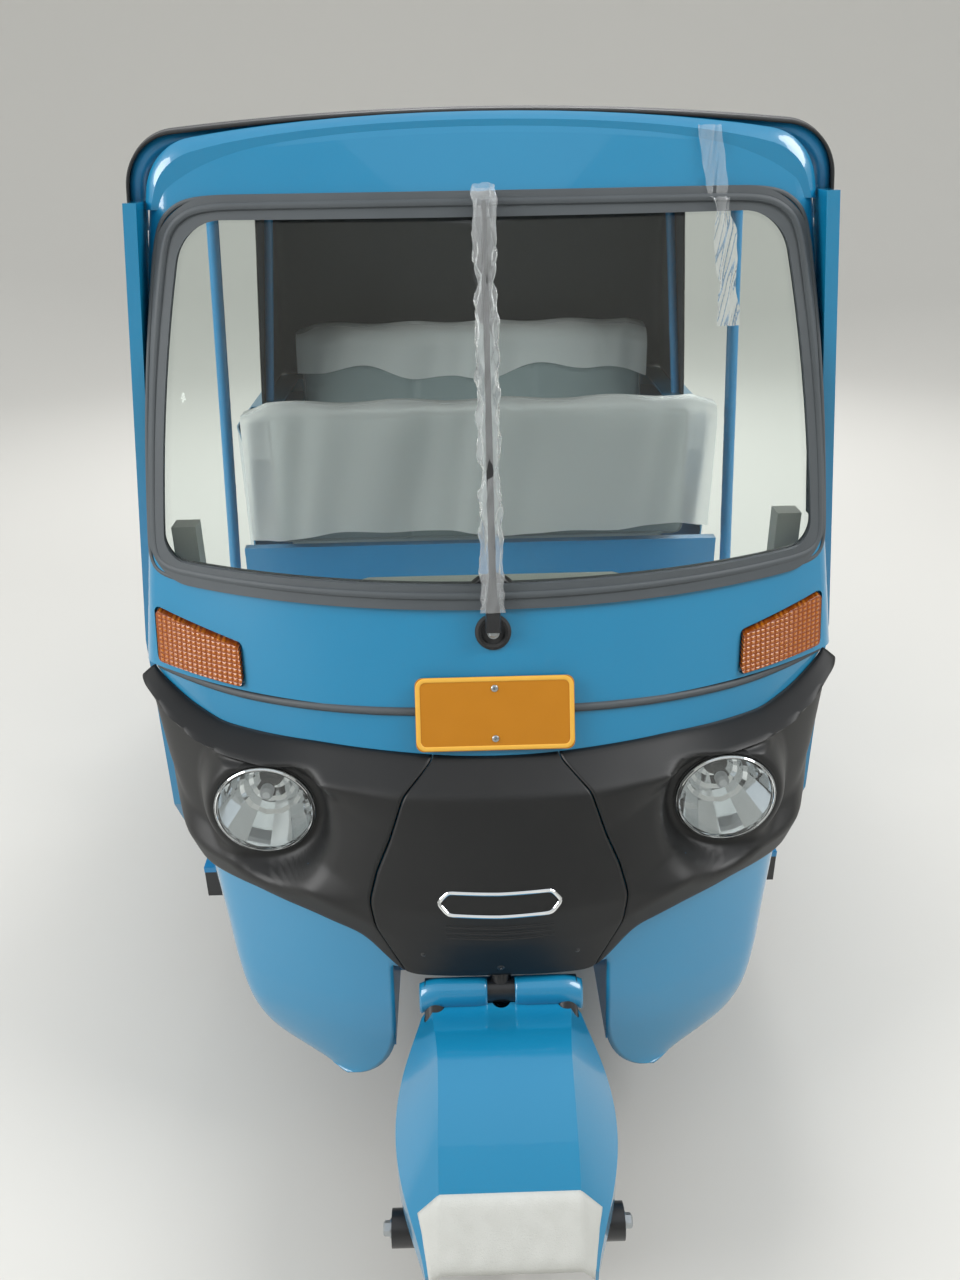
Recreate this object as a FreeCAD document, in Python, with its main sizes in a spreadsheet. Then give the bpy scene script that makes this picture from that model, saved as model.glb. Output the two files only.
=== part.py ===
import FreeCAD, Part

import math
import os
import re

import Sketcher
from FreeCAD import Placement, Rotation, Vector

# Three-wheeled auto rickshaw, parked on its wheels. The front faces -Y, +Z is up, millimetres.
# The origin is on the floor, in the middle of the vehicle's length and width.

doc = FreeCAD.newDocument("auto_rickshaw")
sheet = doc.addObject("Spreadsheet::Sheet", "sizes")

# alias, value, what it is
driving_sizes = [
    ("overall_length", 2635, "front lip of the mudguard to the back of the bumper"),
    ("overall_height", 1704, "floor to the top of the canopy"),
    ("body_half_width", 650, "half the width over the rear quarters"),
    ("front_overhang", 283, "front lip of the mudguard to the front axle"),
    ("rear_overhang", 352, "rear axle to the back of the bumper"),
    ("rear_track", 1150, "between the middles of the rear tyres"),
    ("tyre_diameter", 410, "4.00-8 tyre"),
    ("tyre_width", 108, "widest part of the tyre"),
    ("rim_diameter", 203, "8 inch bead seat"),
    ("rim_width", 76, "between the rim's flanges"),
    ("axle_diameter", 20, "front and rear axle ends"),
    ("running_gap", 0.1, "radial clearance of an axle in its hub"),
    ("seat_gap", 0.3, "clearance between pieces that rest on each other"),
    ("skin", 4, "thickness of the body panels"),
    ("waist_half", 584, "half the width of the front shell at its waist"),
    ("shoulder_half", 508, "half the width of the front shell at the top of the side frames"),
    ("shoulder_height", 1577, "top of the side frames, beside the header"),
    ("frame_thickness", 20, "thickness of the side frames"),
    ("screen_foot_forward", 272, "front face's foot, forward of the hoop, on the centre line"),
    ("screen_foot_height", 1015, "height where the rubber's lower edge crosses the centre line"),
    ("screen_rake", 21.4, "degrees that the middle of the front face leans back"),
    ("pillar_rake", 7.1, "degrees that the pillars lean back"),
    ("hoop_back", 534.5, "front axle to the hoop where the front shell ends"),
    ("foot_bow", 190, "how far the face curves back to its sides, at the screen's foot"),
    ("hoop_height", 1690, "crown of the front hoop"),
    ("hoop_shoulder", 88, "radius of the hoop's shoulders"),
    ("roof_crown", 22, "rise of the roof's middle above its shoulders"),
    ("bead_width", 14, "bead round the header"),
    ("bead_proud", 6, "bead round the header, outside the shell"),
    ("face_round", 44, "radius between the front face and its sides"),
    ("waist_drop", 147, "screen's foot to the joint of the upper and the lower front shell"),
    ("rubber_width", 34, "windscreen rubber, as seen"),
    ("rubber_proud", 7, "windscreen rubber, outside the shell"),
    ("screen_half_top", 484, "half the rubber's width at its top"),
    ("screen_half_foot", 560, "half the rubber's width at its foot"),
    ("screen_side_bow", 13, "how far the rubber's sides bulge"),
    ("screen_top_height", 1585, "height of the rubber's upper edge"),
    ("screen_corner", 112, "radius of the rubber's upper corners"),
    ("screen_foot_corner", 70, "radius of the rubber's lower corners"),
    ("glass_thickness", 5, "laminated glass"),
    ("recess_half", 176, "half the width of the recess for the front wheel"),
    ("recess_back", 245, "front axle to the back wall of the recess"),
    ("recess_height", 560, "roof of the recess, at its back"),
    ("steer_rake", 30, "degrees that the steering column leans back"),
    ("steer_forward", 66.5, "front axle to the steering axis, at the crown's height"),
    ("crown_height", 440, "height of the fork crown on the steering axis"),
    ("column_diameter", 34, "steering column"),
    ("head_tube_diameter", 50, "tube that carries the column"),
    ("head_tube_gap", 0.5, "radial clearance of the column in its tube"),
    ("bar_height", 930, "height where the handlebar crosses the steering axis"),
    ("bar_half", 270, "half the handlebar's width"),
    ("foot_well_half", 430, "half the floor between the leg shields' feet"),
    ("bush_reach", 70, "how far the link's bushes stand out from the fork legs"),
    ("foam_half", 118, "half the foam strip's length across"),
    ("bar_sweep", 185, "how far the grips lie behind the column"),
    ("bar_diameter", 22, "handlebar tube"),
    ("grip_length", 115, "rubber grip"),
    ("grip_diameter", 30, "rubber grip"),
    ("guard_top", 447, "highest point of the front mudguard"),
    ("guard_half_top", 100, "half the flat of the mudguard's top"),
    ("guard_half_side", 163, "half the mudguard's widest part"),
    ("foam_width", 66, "protective foam on the mudguard's lip"),
    ("foam_thickness", 7, "protective foam"),
    ("fork_side", 104, "middle plane to the fork leg"),
    ("fork_diameter", 34, "fork leg"),
    ("pivot_forward", 152, "front axle to the link's pivot"),
    ("pivot_diameter", 54, "bush housing at the link's pivot"),
    ("plate_length", 242, "number plate"),
    ("plate_height", 113, "number plate"),
    ("plate_thickness", 2.5, "number plate"),
    ("plate_stand", 7, "number plate, in front of the nose"),
    ("plate_middle", 866, "height of the front plate's middle"),
    ("lamp_diameter", 160, "headlamp lens"),
    ("lamp_side", 368, "middle plane to the headlamp's middle"),
    ("lamp_height", 699, "height of the headlamp's middle"),
    ("lamp_forward", 332, "headlamp lens, forward of the hoop"),
    ("floor_height", 330, "top of the floor"),
    ("floor_thickness", 12, "ribbed floor pressing"),
    ("sill_height", 70, "box sill under each side frame"),
    ("partition_share", 0.565, "front axle to the partition behind the driver, in wheelbases"),
    ("partition_half", 548, "half the width of the panel behind the driver"),
    ("partition_height", 800, "top of the partition"),
    ("backrest_half", 485, "half the width of the driver's backrest"),
    ("backrest_top", 1125, "top of the driver's backrest"),
    ("seat_height", 690, "top of the driver's cushion"),
    ("deck_share", 0.77, "front axle to the front of the passengers' seat base, in wheelbases"),
    ("deck_height", 610, "top of the passengers' seat base"),
    ("bench_half", 540, "half the width of the passengers' bench"),
    ("bench_top", 735, "top of the passengers' cushion"),
    ("bench_back_top", 1125, "top of the passengers' backrest"),
    ("cushion_round", 28, "rounded edges of cushions"),
    ("bumper_round", 14, "rounded edges of the bumper"),
    ("lamp_round", 10, "rounded edges of the tail lamps"),
    ("quarter_height", 950, "top of the rear quarters"),
    ("quarter_share", 0.74, "front axle to the front edge of the rear quarters, in wheelbases"),
    ("arch_radius", 252, "wheel arches in the rear quarters"),
    ("bumper_depth", 30, "rear bumper, behind the body"),
    ("door_half", 330, "half the width of the engine door"),
    ("door_foot", 430, "foot of the engine door"),
    ("door_top", 862, "top of the engine door"),
    ("door_gap", 6, "gap round the engine door"),
    ("hinge_side", 190, "middle plane to the hinges of the engine door"),
    ("hinge_length", 50, "barrel of a door hinge"),
    ("hinge_radius", 7, "barrel of a door hinge"),
    ("hinge_pin", 6, "pin of a door hinge"),
    ("canopy_skin", 5, "canopy sheet with its lining"),
    ("canopy_half_front", 600, "half the canopy's width at its front, at the height of its lower edge"),
    ("canopy_half_back", 628, "half the canopy's width at its back, at the same height"),
    ("canopy_side_lean", 5.4, "degrees that the canopy's sides lean in"),
    ("canopy_step", 8, "canopy's front edge, above the hoop"),
    ("canopy_lean", 19, "degrees that the canopy's back leans"),
    ("canopy_side_foot", 1560, "lower edge of the canopy over the doorways"),
    ("tube_diameter", 25, "hood frame tubes"),
    ("cowl_wall", 3, "moulded cowl"),
    ("pole_share", 0.555, "front axle to the hood frame's middle poles, in wheelbases"),
    ("rail_height", 60, "chassis rails"),
    ("rail_width", 40, "chassis rails"),
    ("rail_side", 250, "middle plane to the chassis rails"),
    ("rail_foot", 257, "underside of the chassis rails"),
    ("engine_length", 340, "engine and gearbox, along the vehicle"),
    ("engine_width", 400, "engine and gearbox, across the vehicle"),
    ("engine_height", 270, "engine and gearbox"),
    ("engine_foot", 200, "lowest point of the engine"),
    ("engine_corner", 30, "rounded edges of the engine"),
    ("silencer_diameter", 110, "silencer drum"),
    ("silencer_length", 380, "silencer drum"),
    ("arm_pivot", 690, "rear axle to the pivots of the trailing arms, forward"),
    ("arm_side", 470, "middle plane to the trailing arms"),
    ("thread_diameter", 16, "threaded end of a rear stub axle"),
    ("thread_length", 20, "threaded end of a rear stub axle"),
    ("seat_back_lean", 88, "how far the bench's backrest leans back over its height"),
    ("seat_back_depth", 95, "thickness of the bench's backrest"),
    ("driver_seat_half", 205, "half the width of the driver's seat"),
    ("driver_seat_length", 390, "length of the driver's seat"),
    ("cushion_depth", 95, "thickness of the driver's cushion"),
    ("partition_depth", 25, "thickness of the partition"),
]
for row, (alias, value, note) in enumerate(driving_sizes, start=1):
    sheet.set(f"A{row}", alias)
    sheet.set(f"B{row}", str(value))
    sheet.setAlias(f"B{row}", alias)
    sheet.set(f"C{row}", note)
doc.recompute()


class Sizes:
    """Reads a driving dimension from the spreadsheet by its alias."""

    def __getattr__(self, alias):
        return float(sheet.get(alias))


d = Sizes()
aliases = {alias for alias, value, note in driving_sizes}
left, right = 1, -1  # the vehicle's left side is +X

# Places along Y and Z that several pieces share, as formulas over the aliases.
places = {
    "front_axle_y": "(front_overhang - overall_length / 2)",
    "rear_axle_y": "(overall_length / 2 - rear_overhang)",
    "body_back": "(overall_length / 2 - bumper_depth)",
    "deck_y": "(front_overhang - overall_length / 2 + deck_share * wheelbase)",
    "partition_y": "(front_overhang - overall_length / 2 + partition_share * wheelbase)",
    "hoop_y": "(front_overhang - overall_length / 2 + hoop_back)",
    "quarter_y": "(front_overhang - overall_length / 2 + quarter_share * wheelbase)",
    "shelf_y": "(overall_length / 2 - rear_overhang + 145)",
    "wheelbase": "(overall_length - front_overhang - rear_overhang)",
}
front_end = -d.overall_length / 2
front_axle_y = front_end + d.front_overhang
rear_axle_y = d.overall_length / 2 - d.rear_overhang
wheelbase = rear_axle_y - front_axle_y
axle_z = d.tyre_diameter / 2
hoop_y = front_axle_y + d.hoop_back
partition_y = front_axle_y + d.partition_share * wheelbase
deck_y = front_axle_y + d.deck_share * wheelbase
quarter_y = front_axle_y + d.quarter_share * wheelbase
waist_height = d.screen_foot_height - d.waist_drop
side_x = d.waist_half + d.seat_gap + d.frame_thickness
body_back = d.overall_length / 2 - d.bumper_depth
pole_y = front_axle_y + d.pole_share * wheelbase
nodes = {}


def vec(x, y, z):
    return Vector(x, y, z)


def formula(text):
    """Turns plain words into the sheet's own aliases, after spelling out the shared places."""
    for name, meaning in places.items():
        text = re.sub(rf"\b{name}\b", meaning, text)
    return re.sub(r"[a-z_]+", lambda m: "<<sizes>>." + m[0] if m[0] in aliases else m[0], text)


def named(name, value):
    """Puts a sub-part under its own name, whether it is a shape or a document object."""
    if isinstance(value, Part.Shape):
        feature = doc.addObject("Part::Feature", name)
        feature.Shape = value
    else:
        feature = value
    feature.Label = name
    nodes[name] = feature
    return feature


def bound(feature, **expressions):
    """Binds properties to the spreadsheet; a double underscore in a key stands for a dot."""
    for key, text in expressions.items():
        feature.setExpression(key.replace("__", "."), formula(text))
    return feature


def placed(feature, x="0", y="0", z="0"):
    return bound(feature, Placement__Base__x=x, Placement__Base__y=y, Placement__Base__z=z)


def profile(body, plane, corners):
    """A closed polygon; each corner is a pair of formulas, so it follows the sheet."""
    sketch = body.newObject("Sketcher::SketchObject", f"{body.Name}_sketch")
    origin = next(f for f in body.Origin.OriginFeatures if f.Role == plane)
    sketch.AttachmentSupport = (origin, [""])
    sketch.MapMode = "FlatFace"
    count = len(corners)
    turns = [2 * math.pi * k / count for k in range(count + 1)]
    ring = [vec(100 * math.cos(a), 100 * math.sin(a), 0) for a in turns]
    for start, end in zip(ring, ring[1:]):
        sketch.addGeometry(Part.LineSegment(start, end), False)
    for k in range(count):
        sketch.addConstraint(Sketcher.Constraint("Coincident", k, 2, (k + 1) % count, 1))
    for k, corner in enumerate(corners):
        for kind, text in zip(("DistanceX", "DistanceY"), corner):
            index = sketch.addConstraint(Sketcher.Constraint(kind, -1, 1, k, 1, 50.0))
            sketch.setExpression(f"Constraints[{index}]", formula(text))
    return sketch


def pad_body(name, plane, corners, thickness, middle=True):
    """A body padded from a polygon, evenly to both sides of its plane or along its normal."""
    body = doc.addObject("PartDesign::Body", name)
    pad = body.newObject("PartDesign::Pad", f"{name}_pad")
    pad.Profile = profile(body, plane, corners)
    bound(pad, Length=thickness)
    pad.Midplane = middle
    return body


def turned_body(name, corners):
    """A body turned about X; a corner gives its place along X and its radius."""
    body = doc.addObject("PartDesign::Body", name)
    turn = body.newObject("PartDesign::Revolution", f"{name}_turn")
    sketch = profile(body, "XY_Plane", corners)
    turn.Profile = sketch
    turn.ReferenceAxis = (sketch, ["H_Axis"])
    turn.Angle = 360
    return body


def soften(body, radius, chosen):
    """Rounds the edges of a body's tip that a test picks."""
    doc.recompute()
    tip = body.Tip
    picked = [f"Edge{k}" for k, e in enumerate(tip.Shape.Edges, start=1) if chosen(e)]
    fillet = body.newObject("PartDesign::Fillet", f"{body.Name}_round")
    fillet.Base = (tip, picked)
    bound(fillet, Radius=radius)
    return body


def box_feature(name, length, width, height, x, y, z):
    """A box whose sizes and corner are formulas."""
    box = doc.addObject("Part::Box", name)
    bound(box, Length=length, Width=width, Height=height)
    return placed(box, x, y, z)


def softened(name, base, radius, chosen=lambda edge: True):
    """Part's own fillet on chosen edges, with its radius read from the sheet."""
    doc.recompute()
    fillet = doc.addObject("Part::Fillet", name)
    fillet.Base = base
    amount = getattr(d, radius)
    fillet.Edges = [(k, amount, amount) for k, e in enumerate(base.Shape.Edges, start=1) if chosen(e)]
    return fillet


def side_name(name, side):
    return f"{name}_left" if side == left else f"{name}_right"


def mirrored(shape):
    return shape.mirror(vec(0, 0, 0), vec(1, 0, 0))


def both_sides(name, shape):
    """Two nodes from the shape of the left one."""
    named(side_name(name, left), shape)
    named(side_name(name, right), mirrored(shape))


def pair_of(name, shape):
    """One node from the shape of the left piece and its mirror image."""
    named(name, Part.makeCompound([shape, mirrored(shape)]))


def joined(shapes):
    whole = shapes[0].fuse(shapes[1:]) if len(shapes) > 1 else shapes[0]
    return whole.removeSplitter()


def block(x0, x1, y0, y1, z0, z1):
    return Part.makeBox(x1 - x0, y1 - y0, z1 - z0, vec(x0, y0, z0))


def rod(start, end, diameter):
    """A round bar between two points."""
    return Part.makeCylinder(diameter / 2, (end - start).Length, start, end - start)


def prism(points, direction):
    """A polygon of points, pushed along a direction."""
    return Part.Face(Part.makePolygon([*points, points[0]])).extrude(direction)


def side_prism(outline, x0, x1):
    """A polygon of (y, z) pairs seen from the side, from x0 to x1."""
    return prism([vec(x0, y, z) for y, z in outline], vec(x1 - x0, 0, 0))


def front_prism(outline, y0, y1):
    """A polygon of (x, z) pairs seen from the front, from y0 to y1."""
    return prism([vec(x, y0, z) for x, z in outline], vec(0, y1 - y0, 0))


def rounded(shape, radius, chosen=lambda edge: True):
    """Fillets the edges that a test picks."""
    return shape.makeFillet(radius, [e for e in shape.Edges if chosen(e)])


def along(edge, x, y, z):
    """Whether a straight edge runs along a direction."""
    way = edge.tangentAt(edge.FirstParameter)
    return abs(way.dot(vec(x, y, z))) > 0.99 and edge.Curve.TypeId == "Part::GeomLine"


def bent_tube(points, radius, diameter):
    """A tube along straight runs joined by tangent arcs of one radius."""
    edges, start = [], points[0]
    for before, corner, after in zip(points, points[1:], points[2:]):
        into = (corner - before).normalize()
        out = (after - corner).normalize()
        turn = into.getAngle(out)
        reach = radius * math.tan(turn / 2)
        first, last = corner - into * reach, corner + out * reach
        inward = (out - into).normalize()
        middle = corner + inward * (radius / math.cos(turn / 2) - radius)
        edges += [Part.LineSegment(start, first).toShape(), Part.Arc(first, middle, last).toShape()]
        start = last
    edges.append(Part.LineSegment(start, points[-1]).toShape())
    ring = Part.Wire(Part.makeCircle(diameter / 2, points[0], points[1] - points[0]))
    return Part.Wire(edges).makePipeShell([ring], True, True)


# Front shell

face_angle = math.radians(d.screen_rake)
loft_foot, loft_top = waist_height - 90, d.hoop_height + 40
side_lean = (d.waist_half - d.shoulder_half) / (d.shoulder_height - waist_height)
everything = 3000


def face_y(z):
    """The outside of the front face on the centre line."""
    foot_y = hoop_y - d.screen_foot_forward
    return foot_y + (z - d.screen_foot_height) * math.tan(face_angle)


def face_side_y(z):
    """The outside of the front face at its sides, where the pillars are."""
    foot_y = face_y(d.screen_foot_height) + d.foot_bow
    return foot_y + (z - d.screen_foot_height) * math.tan(math.radians(d.pillar_rake))


def shell_half(z):
    """Half the front shell's width, which narrows from the waist to the header."""
    return d.waist_half - (z - waist_height) * side_lean


def slab(x0, x1, y0, y1, z0, z1):
    """A cutting block; a None stands for a face far outside the vehicle."""
    low = [-everything if value is None else value for value in (x0, y0, z0)]
    high = [everything if value is None else value for value in (x1, y1, z1)]
    return block(low[0], high[0], low[1], high[1], low[2], high[2])


def arch_wire(y, half_at, crown, shoulder, rise, foot):
    """A closed arch across the vehicle: flat foot, leaning sides, round shoulders, bowed crown.

    The sides, the shoulders and the crown run into each other without a crease."""
    lean = math.atan2(half_at(foot) - half_at(crown), crown - foot)
    joint = half_at(crown)
    for _ in range(12):
        tilt = 2 * math.atan(rise / joint)
        centre_z = crown - rise - shoulder * math.cos(tilt)
        spring = centre_z + shoulder * math.sin(lean)
        centre_x = half_at(spring) - shoulder * math.cos(lean)
        joint = centre_x + shoulder * math.sin(tilt)
    middle = (lean + math.pi / 2 - tilt) / 2
    turn = vec(centre_x + shoulder * math.cos(middle), y, centre_z + shoulder * math.sin(middle))
    side_top, crown_end = vec(half_at(spring), y, spring), vec(joint, y, crown - rise)
    side_foot = vec(half_at(foot), y, foot)
    flipped = [vec(-p.x, p.y, p.z) for p in (side_foot, side_top, turn, crown_end)]
    edges = [
        Part.LineSegment(flipped[0], side_foot),
        Part.LineSegment(side_foot, side_top),
        Part.Arc(side_top, turn, crown_end),
        Part.Arc(crown_end, vec(0, y, crown), flipped[3]),
        Part.Arc(flipped[3], flipped[2], flipped[1]),
        Part.LineSegment(flipped[1], flipped[0]),
    ]
    return Part.Wire([e.toShape() for e in edges])


def face_cutter(grow):
    """Everything behind the front face, which is a ruled sheet between a bowed foot and a flat top."""
    wires = []
    back, overshoot = hoop_y + 400, 1.25
    for z in (loft_foot - 200, loft_top + 60):
        middle, side = face_y(z) - grow, face_side_y(z) - grow
        reach = shell_half(z) * overshoot
        side_out = middle + (side - middle) * overshoot**2
        arc = Part.Arc(vec(-reach, side_out, z), vec(0, middle, z), vec(reach, side_out, z)).toShape()
        corners = [vec(reach, side_out, z), vec(reach, back, z), vec(-reach, back, z), vec(-reach, side_out, z)]
        lines = [Part.LineSegment(a, b).toShape() for a, b in zip(corners, corners[1:])]
        wires.append(Part.Wire([arc, *lines]))
    return Part.makeLoft(wires, True, True)


def front_volume(grow, soft=True):
    """The front shell as a closed block whose walls are moved outwards by grow."""
    arch = arch_wire(hoop_y + 300, lambda z: shell_half(z) + grow, d.hoop_height + grow,
                     d.hoop_shoulder + grow, d.roof_crown, loft_foot)
    block_behind = Part.Face(arch).extrude(vec(0, -900, 0))
    volume = block_behind.common(face_cutter(grow)).removeSplitter()
    if not soft:
        return volume
    front = min(volume.Faces, key=lambda f: f.CenterOfMass.y)
    edges = [e for e in front.Edges if e.CenterOfMass.z > loft_foot + 1]
    return volume.makeFillet(d.face_round + grow, edges)


def screen_outline(inset):
    """The windscreen's outline seen from the front, taken in by inset, pushed through the face."""
    foot, top = d.screen_foot_height + inset, d.screen_top_height - inset
    half_foot, half_top = d.screen_half_foot - inset, d.screen_half_top - inset
    half_middle = (half_foot + half_top) / 2 + d.screen_side_bow
    y, middle = hoop_y - 500, (foot + top) / 2
    edges = [
        Part.LineSegment(vec(-half_foot, y, foot), vec(half_foot, y, foot)),
        Part.Arc(vec(half_foot, y, foot), vec(half_middle, y, middle), vec(half_top, y, top)),
        Part.LineSegment(vec(half_top, y, top), vec(-half_top, y, top)),
        Part.Arc(vec(-half_top, y, top), vec(-half_middle, y, middle), vec(-half_foot, y, foot)),
    ]
    solid = Part.Face(Part.Wire([e.toShape() for e in edges])).extrude(vec(0, 600, 0))
    for height, radius in ((foot, d.screen_foot_corner), (top, d.screen_corner)):
        corner = [e for e in solid.Edges if along(e, 0, 1, 0) and abs(e.CenterOfMass.z - height) < 1]
        solid = solid.makeFillet(radius - inset, corner)
    return solid


def signal_prism(grow):
    """The left indicator's outline seen from the front, pushed through the face."""
    inner, outer, foot = 398 - grow, 552 + grow, waist_height + 9 - grow
    inner_top, outer_top = waist_height + 68 + grow, waist_height + 95 + grow
    outline = [(inner, foot), (outer, foot + 4), (outer, outer_top), (inner + 4, inner_top)]
    return rounded(front_prism(outline, hoop_y - 400, hoop_y), 6 + grow, lambda e: along(e, 0, 1, 0))


signal_sink = 10
pocket_gap = 5
outer_front = front_volume(0)
inner_front = front_volume(-d.skin)
rear_cut = slab(None, None, hoop_y, None, None, None)
pocket = signal_prism(pocket_gap).cut(front_volume(-signal_sink))
pocket_back = signal_prism(pocket_gap + d.skin).cut(front_volume(-signal_sink - d.skin))
for side_pocket, side_back in ((pocket, pocket_back), (mirrored(pocket), mirrored(pocket_back))):
    outer_front = outer_front.cut(side_pocket)
    inner_front = inner_front.cut(side_back)
front_skin = outer_front.cut(inner_front).cut(rear_cut)

bead = front_volume(d.bead_proud).cut(front_volume(-1)).cut(rear_cut)
bead = bead.common(slab(None, None, hoop_y - d.bead_width, None, d.shoulder_height - 12, None))
upper = front_skin.fuse(bead).cut(slab(None, None, None, None, None, waist_height))
upper = upper.cut(screen_outline(d.rubber_width * 0.4))
wiper_z = d.screen_foot_height - 34
wiper_y = face_y(wiper_z)
upper = upper.cut(rod(vec(0, wiper_y - 60, wiper_z), vec(0, wiper_y + 60, wiper_z), 30))
named("front_upper_shell", upper)

screen_glass = front_volume(-1.5, soft=False).cut(front_volume(-1.5 - d.glass_thickness, soft=False))
glass = screen_glass.common(screen_outline(d.rubber_width * 0.65)).cut(rear_cut)
named("windscreen_glass", glass)

rubber = front_volume(d.rubber_proud).cut(front_volume(-d.skin - d.rubber_proud))
rubber = rubber.common(screen_outline(0).cut(screen_outline(d.rubber_width))).cut(rear_cut)
named("windscreen_rubber", rubber.cut(upper).cut(glass))


# Lower nose and leg shields

nose_sections = [
    # height, middle, side, half width, half width at the hoop
    (waist_height, face_y(waist_height), face_side_y(waist_height), d.waist_half, d.waist_half),
    (waist_height - 268, hoop_y - 445, hoop_y - 190, d.waist_half - 48, d.waist_half),
    (waist_height - 468, hoop_y - 485, hoop_y - 245, d.waist_half - 106, d.waist_half - 24),
    (waist_height - 568, hoop_y - 495, hoop_y - 285, d.waist_half - 138, d.waist_half - 50),
    (waist_height - 618, hoop_y - 465, hoop_y - 275, d.waist_half - 158, d.waist_half - 70),
]
shield_foot = nose_sections[-1][0]


def nose_wire(section, grow):
    """The nose seen from above at one height: a bowed front, its two flanks and a flat back."""
    z, middle, side, half, wide = section
    middle, side, half, wide = middle - grow, side - grow * 0.7, half + grow * 0.8, wide + grow
    arc = Part.Arc(vec(-half, side, z), vec(0, middle, z), vec(half, side, z)).toShape()
    corners = [vec(half, side, z), vec(wide, hoop_y, z), vec(-wide, hoop_y, z), vec(-half, side, z)]
    lines = [Part.LineSegment(a, b).toShape() for a, b in zip(corners, corners[1:])]
    return Part.Wire([arc, *lines])


def nose_volume(grow):
    """The lower nose as a closed block whose walls are moved outwards by grow."""
    wires = [nose_wire(section, grow) for section in nose_sections]
    lofts = [Part.makeLoft([high, low], True, True) for high, low in zip(wires, wires[1:])]
    return lofts[0].fuse(lofts[1:]).removeSplitter()


def nose_y(x, z):
    """The outside of the nose at a place across and a height, on the bowed front."""
    rows = [row for row in zip(nose_sections, nose_sections[1:]) if row[1][0] <= z] or [nose_sections[-2:]]
    high, low = rows[0]
    places_along = []
    for height, middle, side, half, wide in (high, low):
        bow = side - middle
        radius = (half**2 + bow**2) / (2 * bow)
        places_along.append(middle + radius - math.sqrt(radius**2 - x**2))
    share = (z - low[0]) / (high[0] - low[0])
    return places_along[1] + share * (places_along[0] - places_along[1])


def recess_box(grow, reach=0):
    """The room for the front wheel, from in front of the nose to the back wall."""
    half, back = d.recess_half + grow, front_axle_y + d.recess_back + grow
    return block(-half, half, front_end - 50, back, shield_foot - 50, d.recess_height + grow + reach)


def lobe_room(side):
    """Everything outside the round foot of one leg shield, seen from the front."""
    inner, outer = d.recess_half - 1, d.waist_half + 100
    low, knee_in, knee_out = shield_foot + 1, shield_foot + 150, shield_foot + 135
    y = front_end - 50
    edges = [
        Part.LineSegment(vec(inner, y, low - 100), vec(inner, y, knee_in)),
        Part.Arc(vec(inner, y, knee_in), vec(inner + 30, y, low + 45), vec(inner + 115, y, low)),
        Part.Arc(vec(inner + 115, y, low), vec(inner + 218, y, low + 40), vec(inner + 290, y, knee_out)),
        Part.LineSegment(vec(inner + 290, y, knee_out), vec(outer, y, knee_out + 130)),
        Part.LineSegment(vec(outer, y, knee_out + 130), vec(outer, y, low - 100)),
        Part.LineSegment(vec(outer, y, low - 100), vec(inner, y, low - 100)),
    ]
    room = Part.Face(Part.Wire([e.toShape() for e in edges])).extrude(vec(0, hoop_y - y, 0))
    return room if side == left else mirrored(room)


nose_outer, nose_inner = nose_volume(0), nose_volume(-d.skin)
lower_shell = nose_outer.cut(nose_inner).cut(recess_box(0))
for side in (left, right):
    lower_shell = lower_shell.cut(lobe_room(side))

steer_angle = math.radians(d.steer_rake)
steer_axis = vec(0, math.sin(steer_angle), math.cos(steer_angle))
crown_point = vec(0, front_axle_y + d.steer_forward, d.crown_height)


def on_steer_axis(z):
    """The point of the steering axis at a height."""
    return crown_point + steer_axis * ((z - crown_point.z) / steer_axis.z)


def steer_rod(z0, z1, diameter):
    return rod(on_steer_axis(z0), on_steer_axis(z1), diameter)


head_foot, head_top = d.recess_height - 20, d.bar_height - 90
head_bore = d.column_diameter + 2 * d.head_tube_gap
housing = recess_box(0).cut(recess_box(-d.skin)).common(nose_volume(-d.skin - d.seat_gap))
housing = housing.cut(slab(None, None, None, None, None, shield_foot + 70))
named("wheel_housing", housing.cut(steer_rod(head_foot - 40, head_top, d.head_tube_diameter + 1)))
head_tube = steer_rod(head_foot, head_top, d.head_tube_diameter)
flange_y = on_steer_axis(d.recess_height).y
flange_foot = d.recess_height + d.seat_gap
flange = block(-70, 70, flange_y - 45, flange_y + 75, flange_foot, flange_foot + 6)
head_tube = head_tube.cut(slab(None, None, None, None, None, flange_foot))
head_tube = joined([head_tube, flange]).cut(steer_rod(head_foot - 60, head_top + 60, head_bore))
named("head_tube", head_tube)

# Cowl over the headlamps: a moulded wall through stations from the middle to the tip

cowl_columns = ("top edge", "brow", "under the brow", "above the lip", "lip", "lower edge")
cowl_stations = [
    # across, then for each column how far below the waist and how far in front of the nose
    (0, (62, 5), (98, 46), (178, 44), (268, 39), (323, 30), (391, 8)),
    (70, (62, 5), (99, 46), (177, 42), (266, 37), (323, 28), (394, 8)),
    (140, (60, 5), (101, 47), (174, 38), (262, 34), (321, 26), (396, 9)),
    (200, (59, 5), (100, 45), (150, 33), (246, 30), (292, 30), (335, 12)),
    (283, (58, 5), (100, 50), (111, 20), (226, 14), (264, 34), (315, 14)),
    (368, (61, 5), (80, 58), (93, 16), (238, 11), (266, 32), (306, 14)),
    (450, (63, 5), (80, 54), (93, 16), (238, 11), (266, 30), (308, 14)),
    (510, (48, 5), (64, 46), (78, 16), (226, 12), (262, 26), (308, 12)),
    (558, (16, 6), (32, 30), (46, 16), (176, 13), (216, 20), (246, 10)),
]


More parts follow.
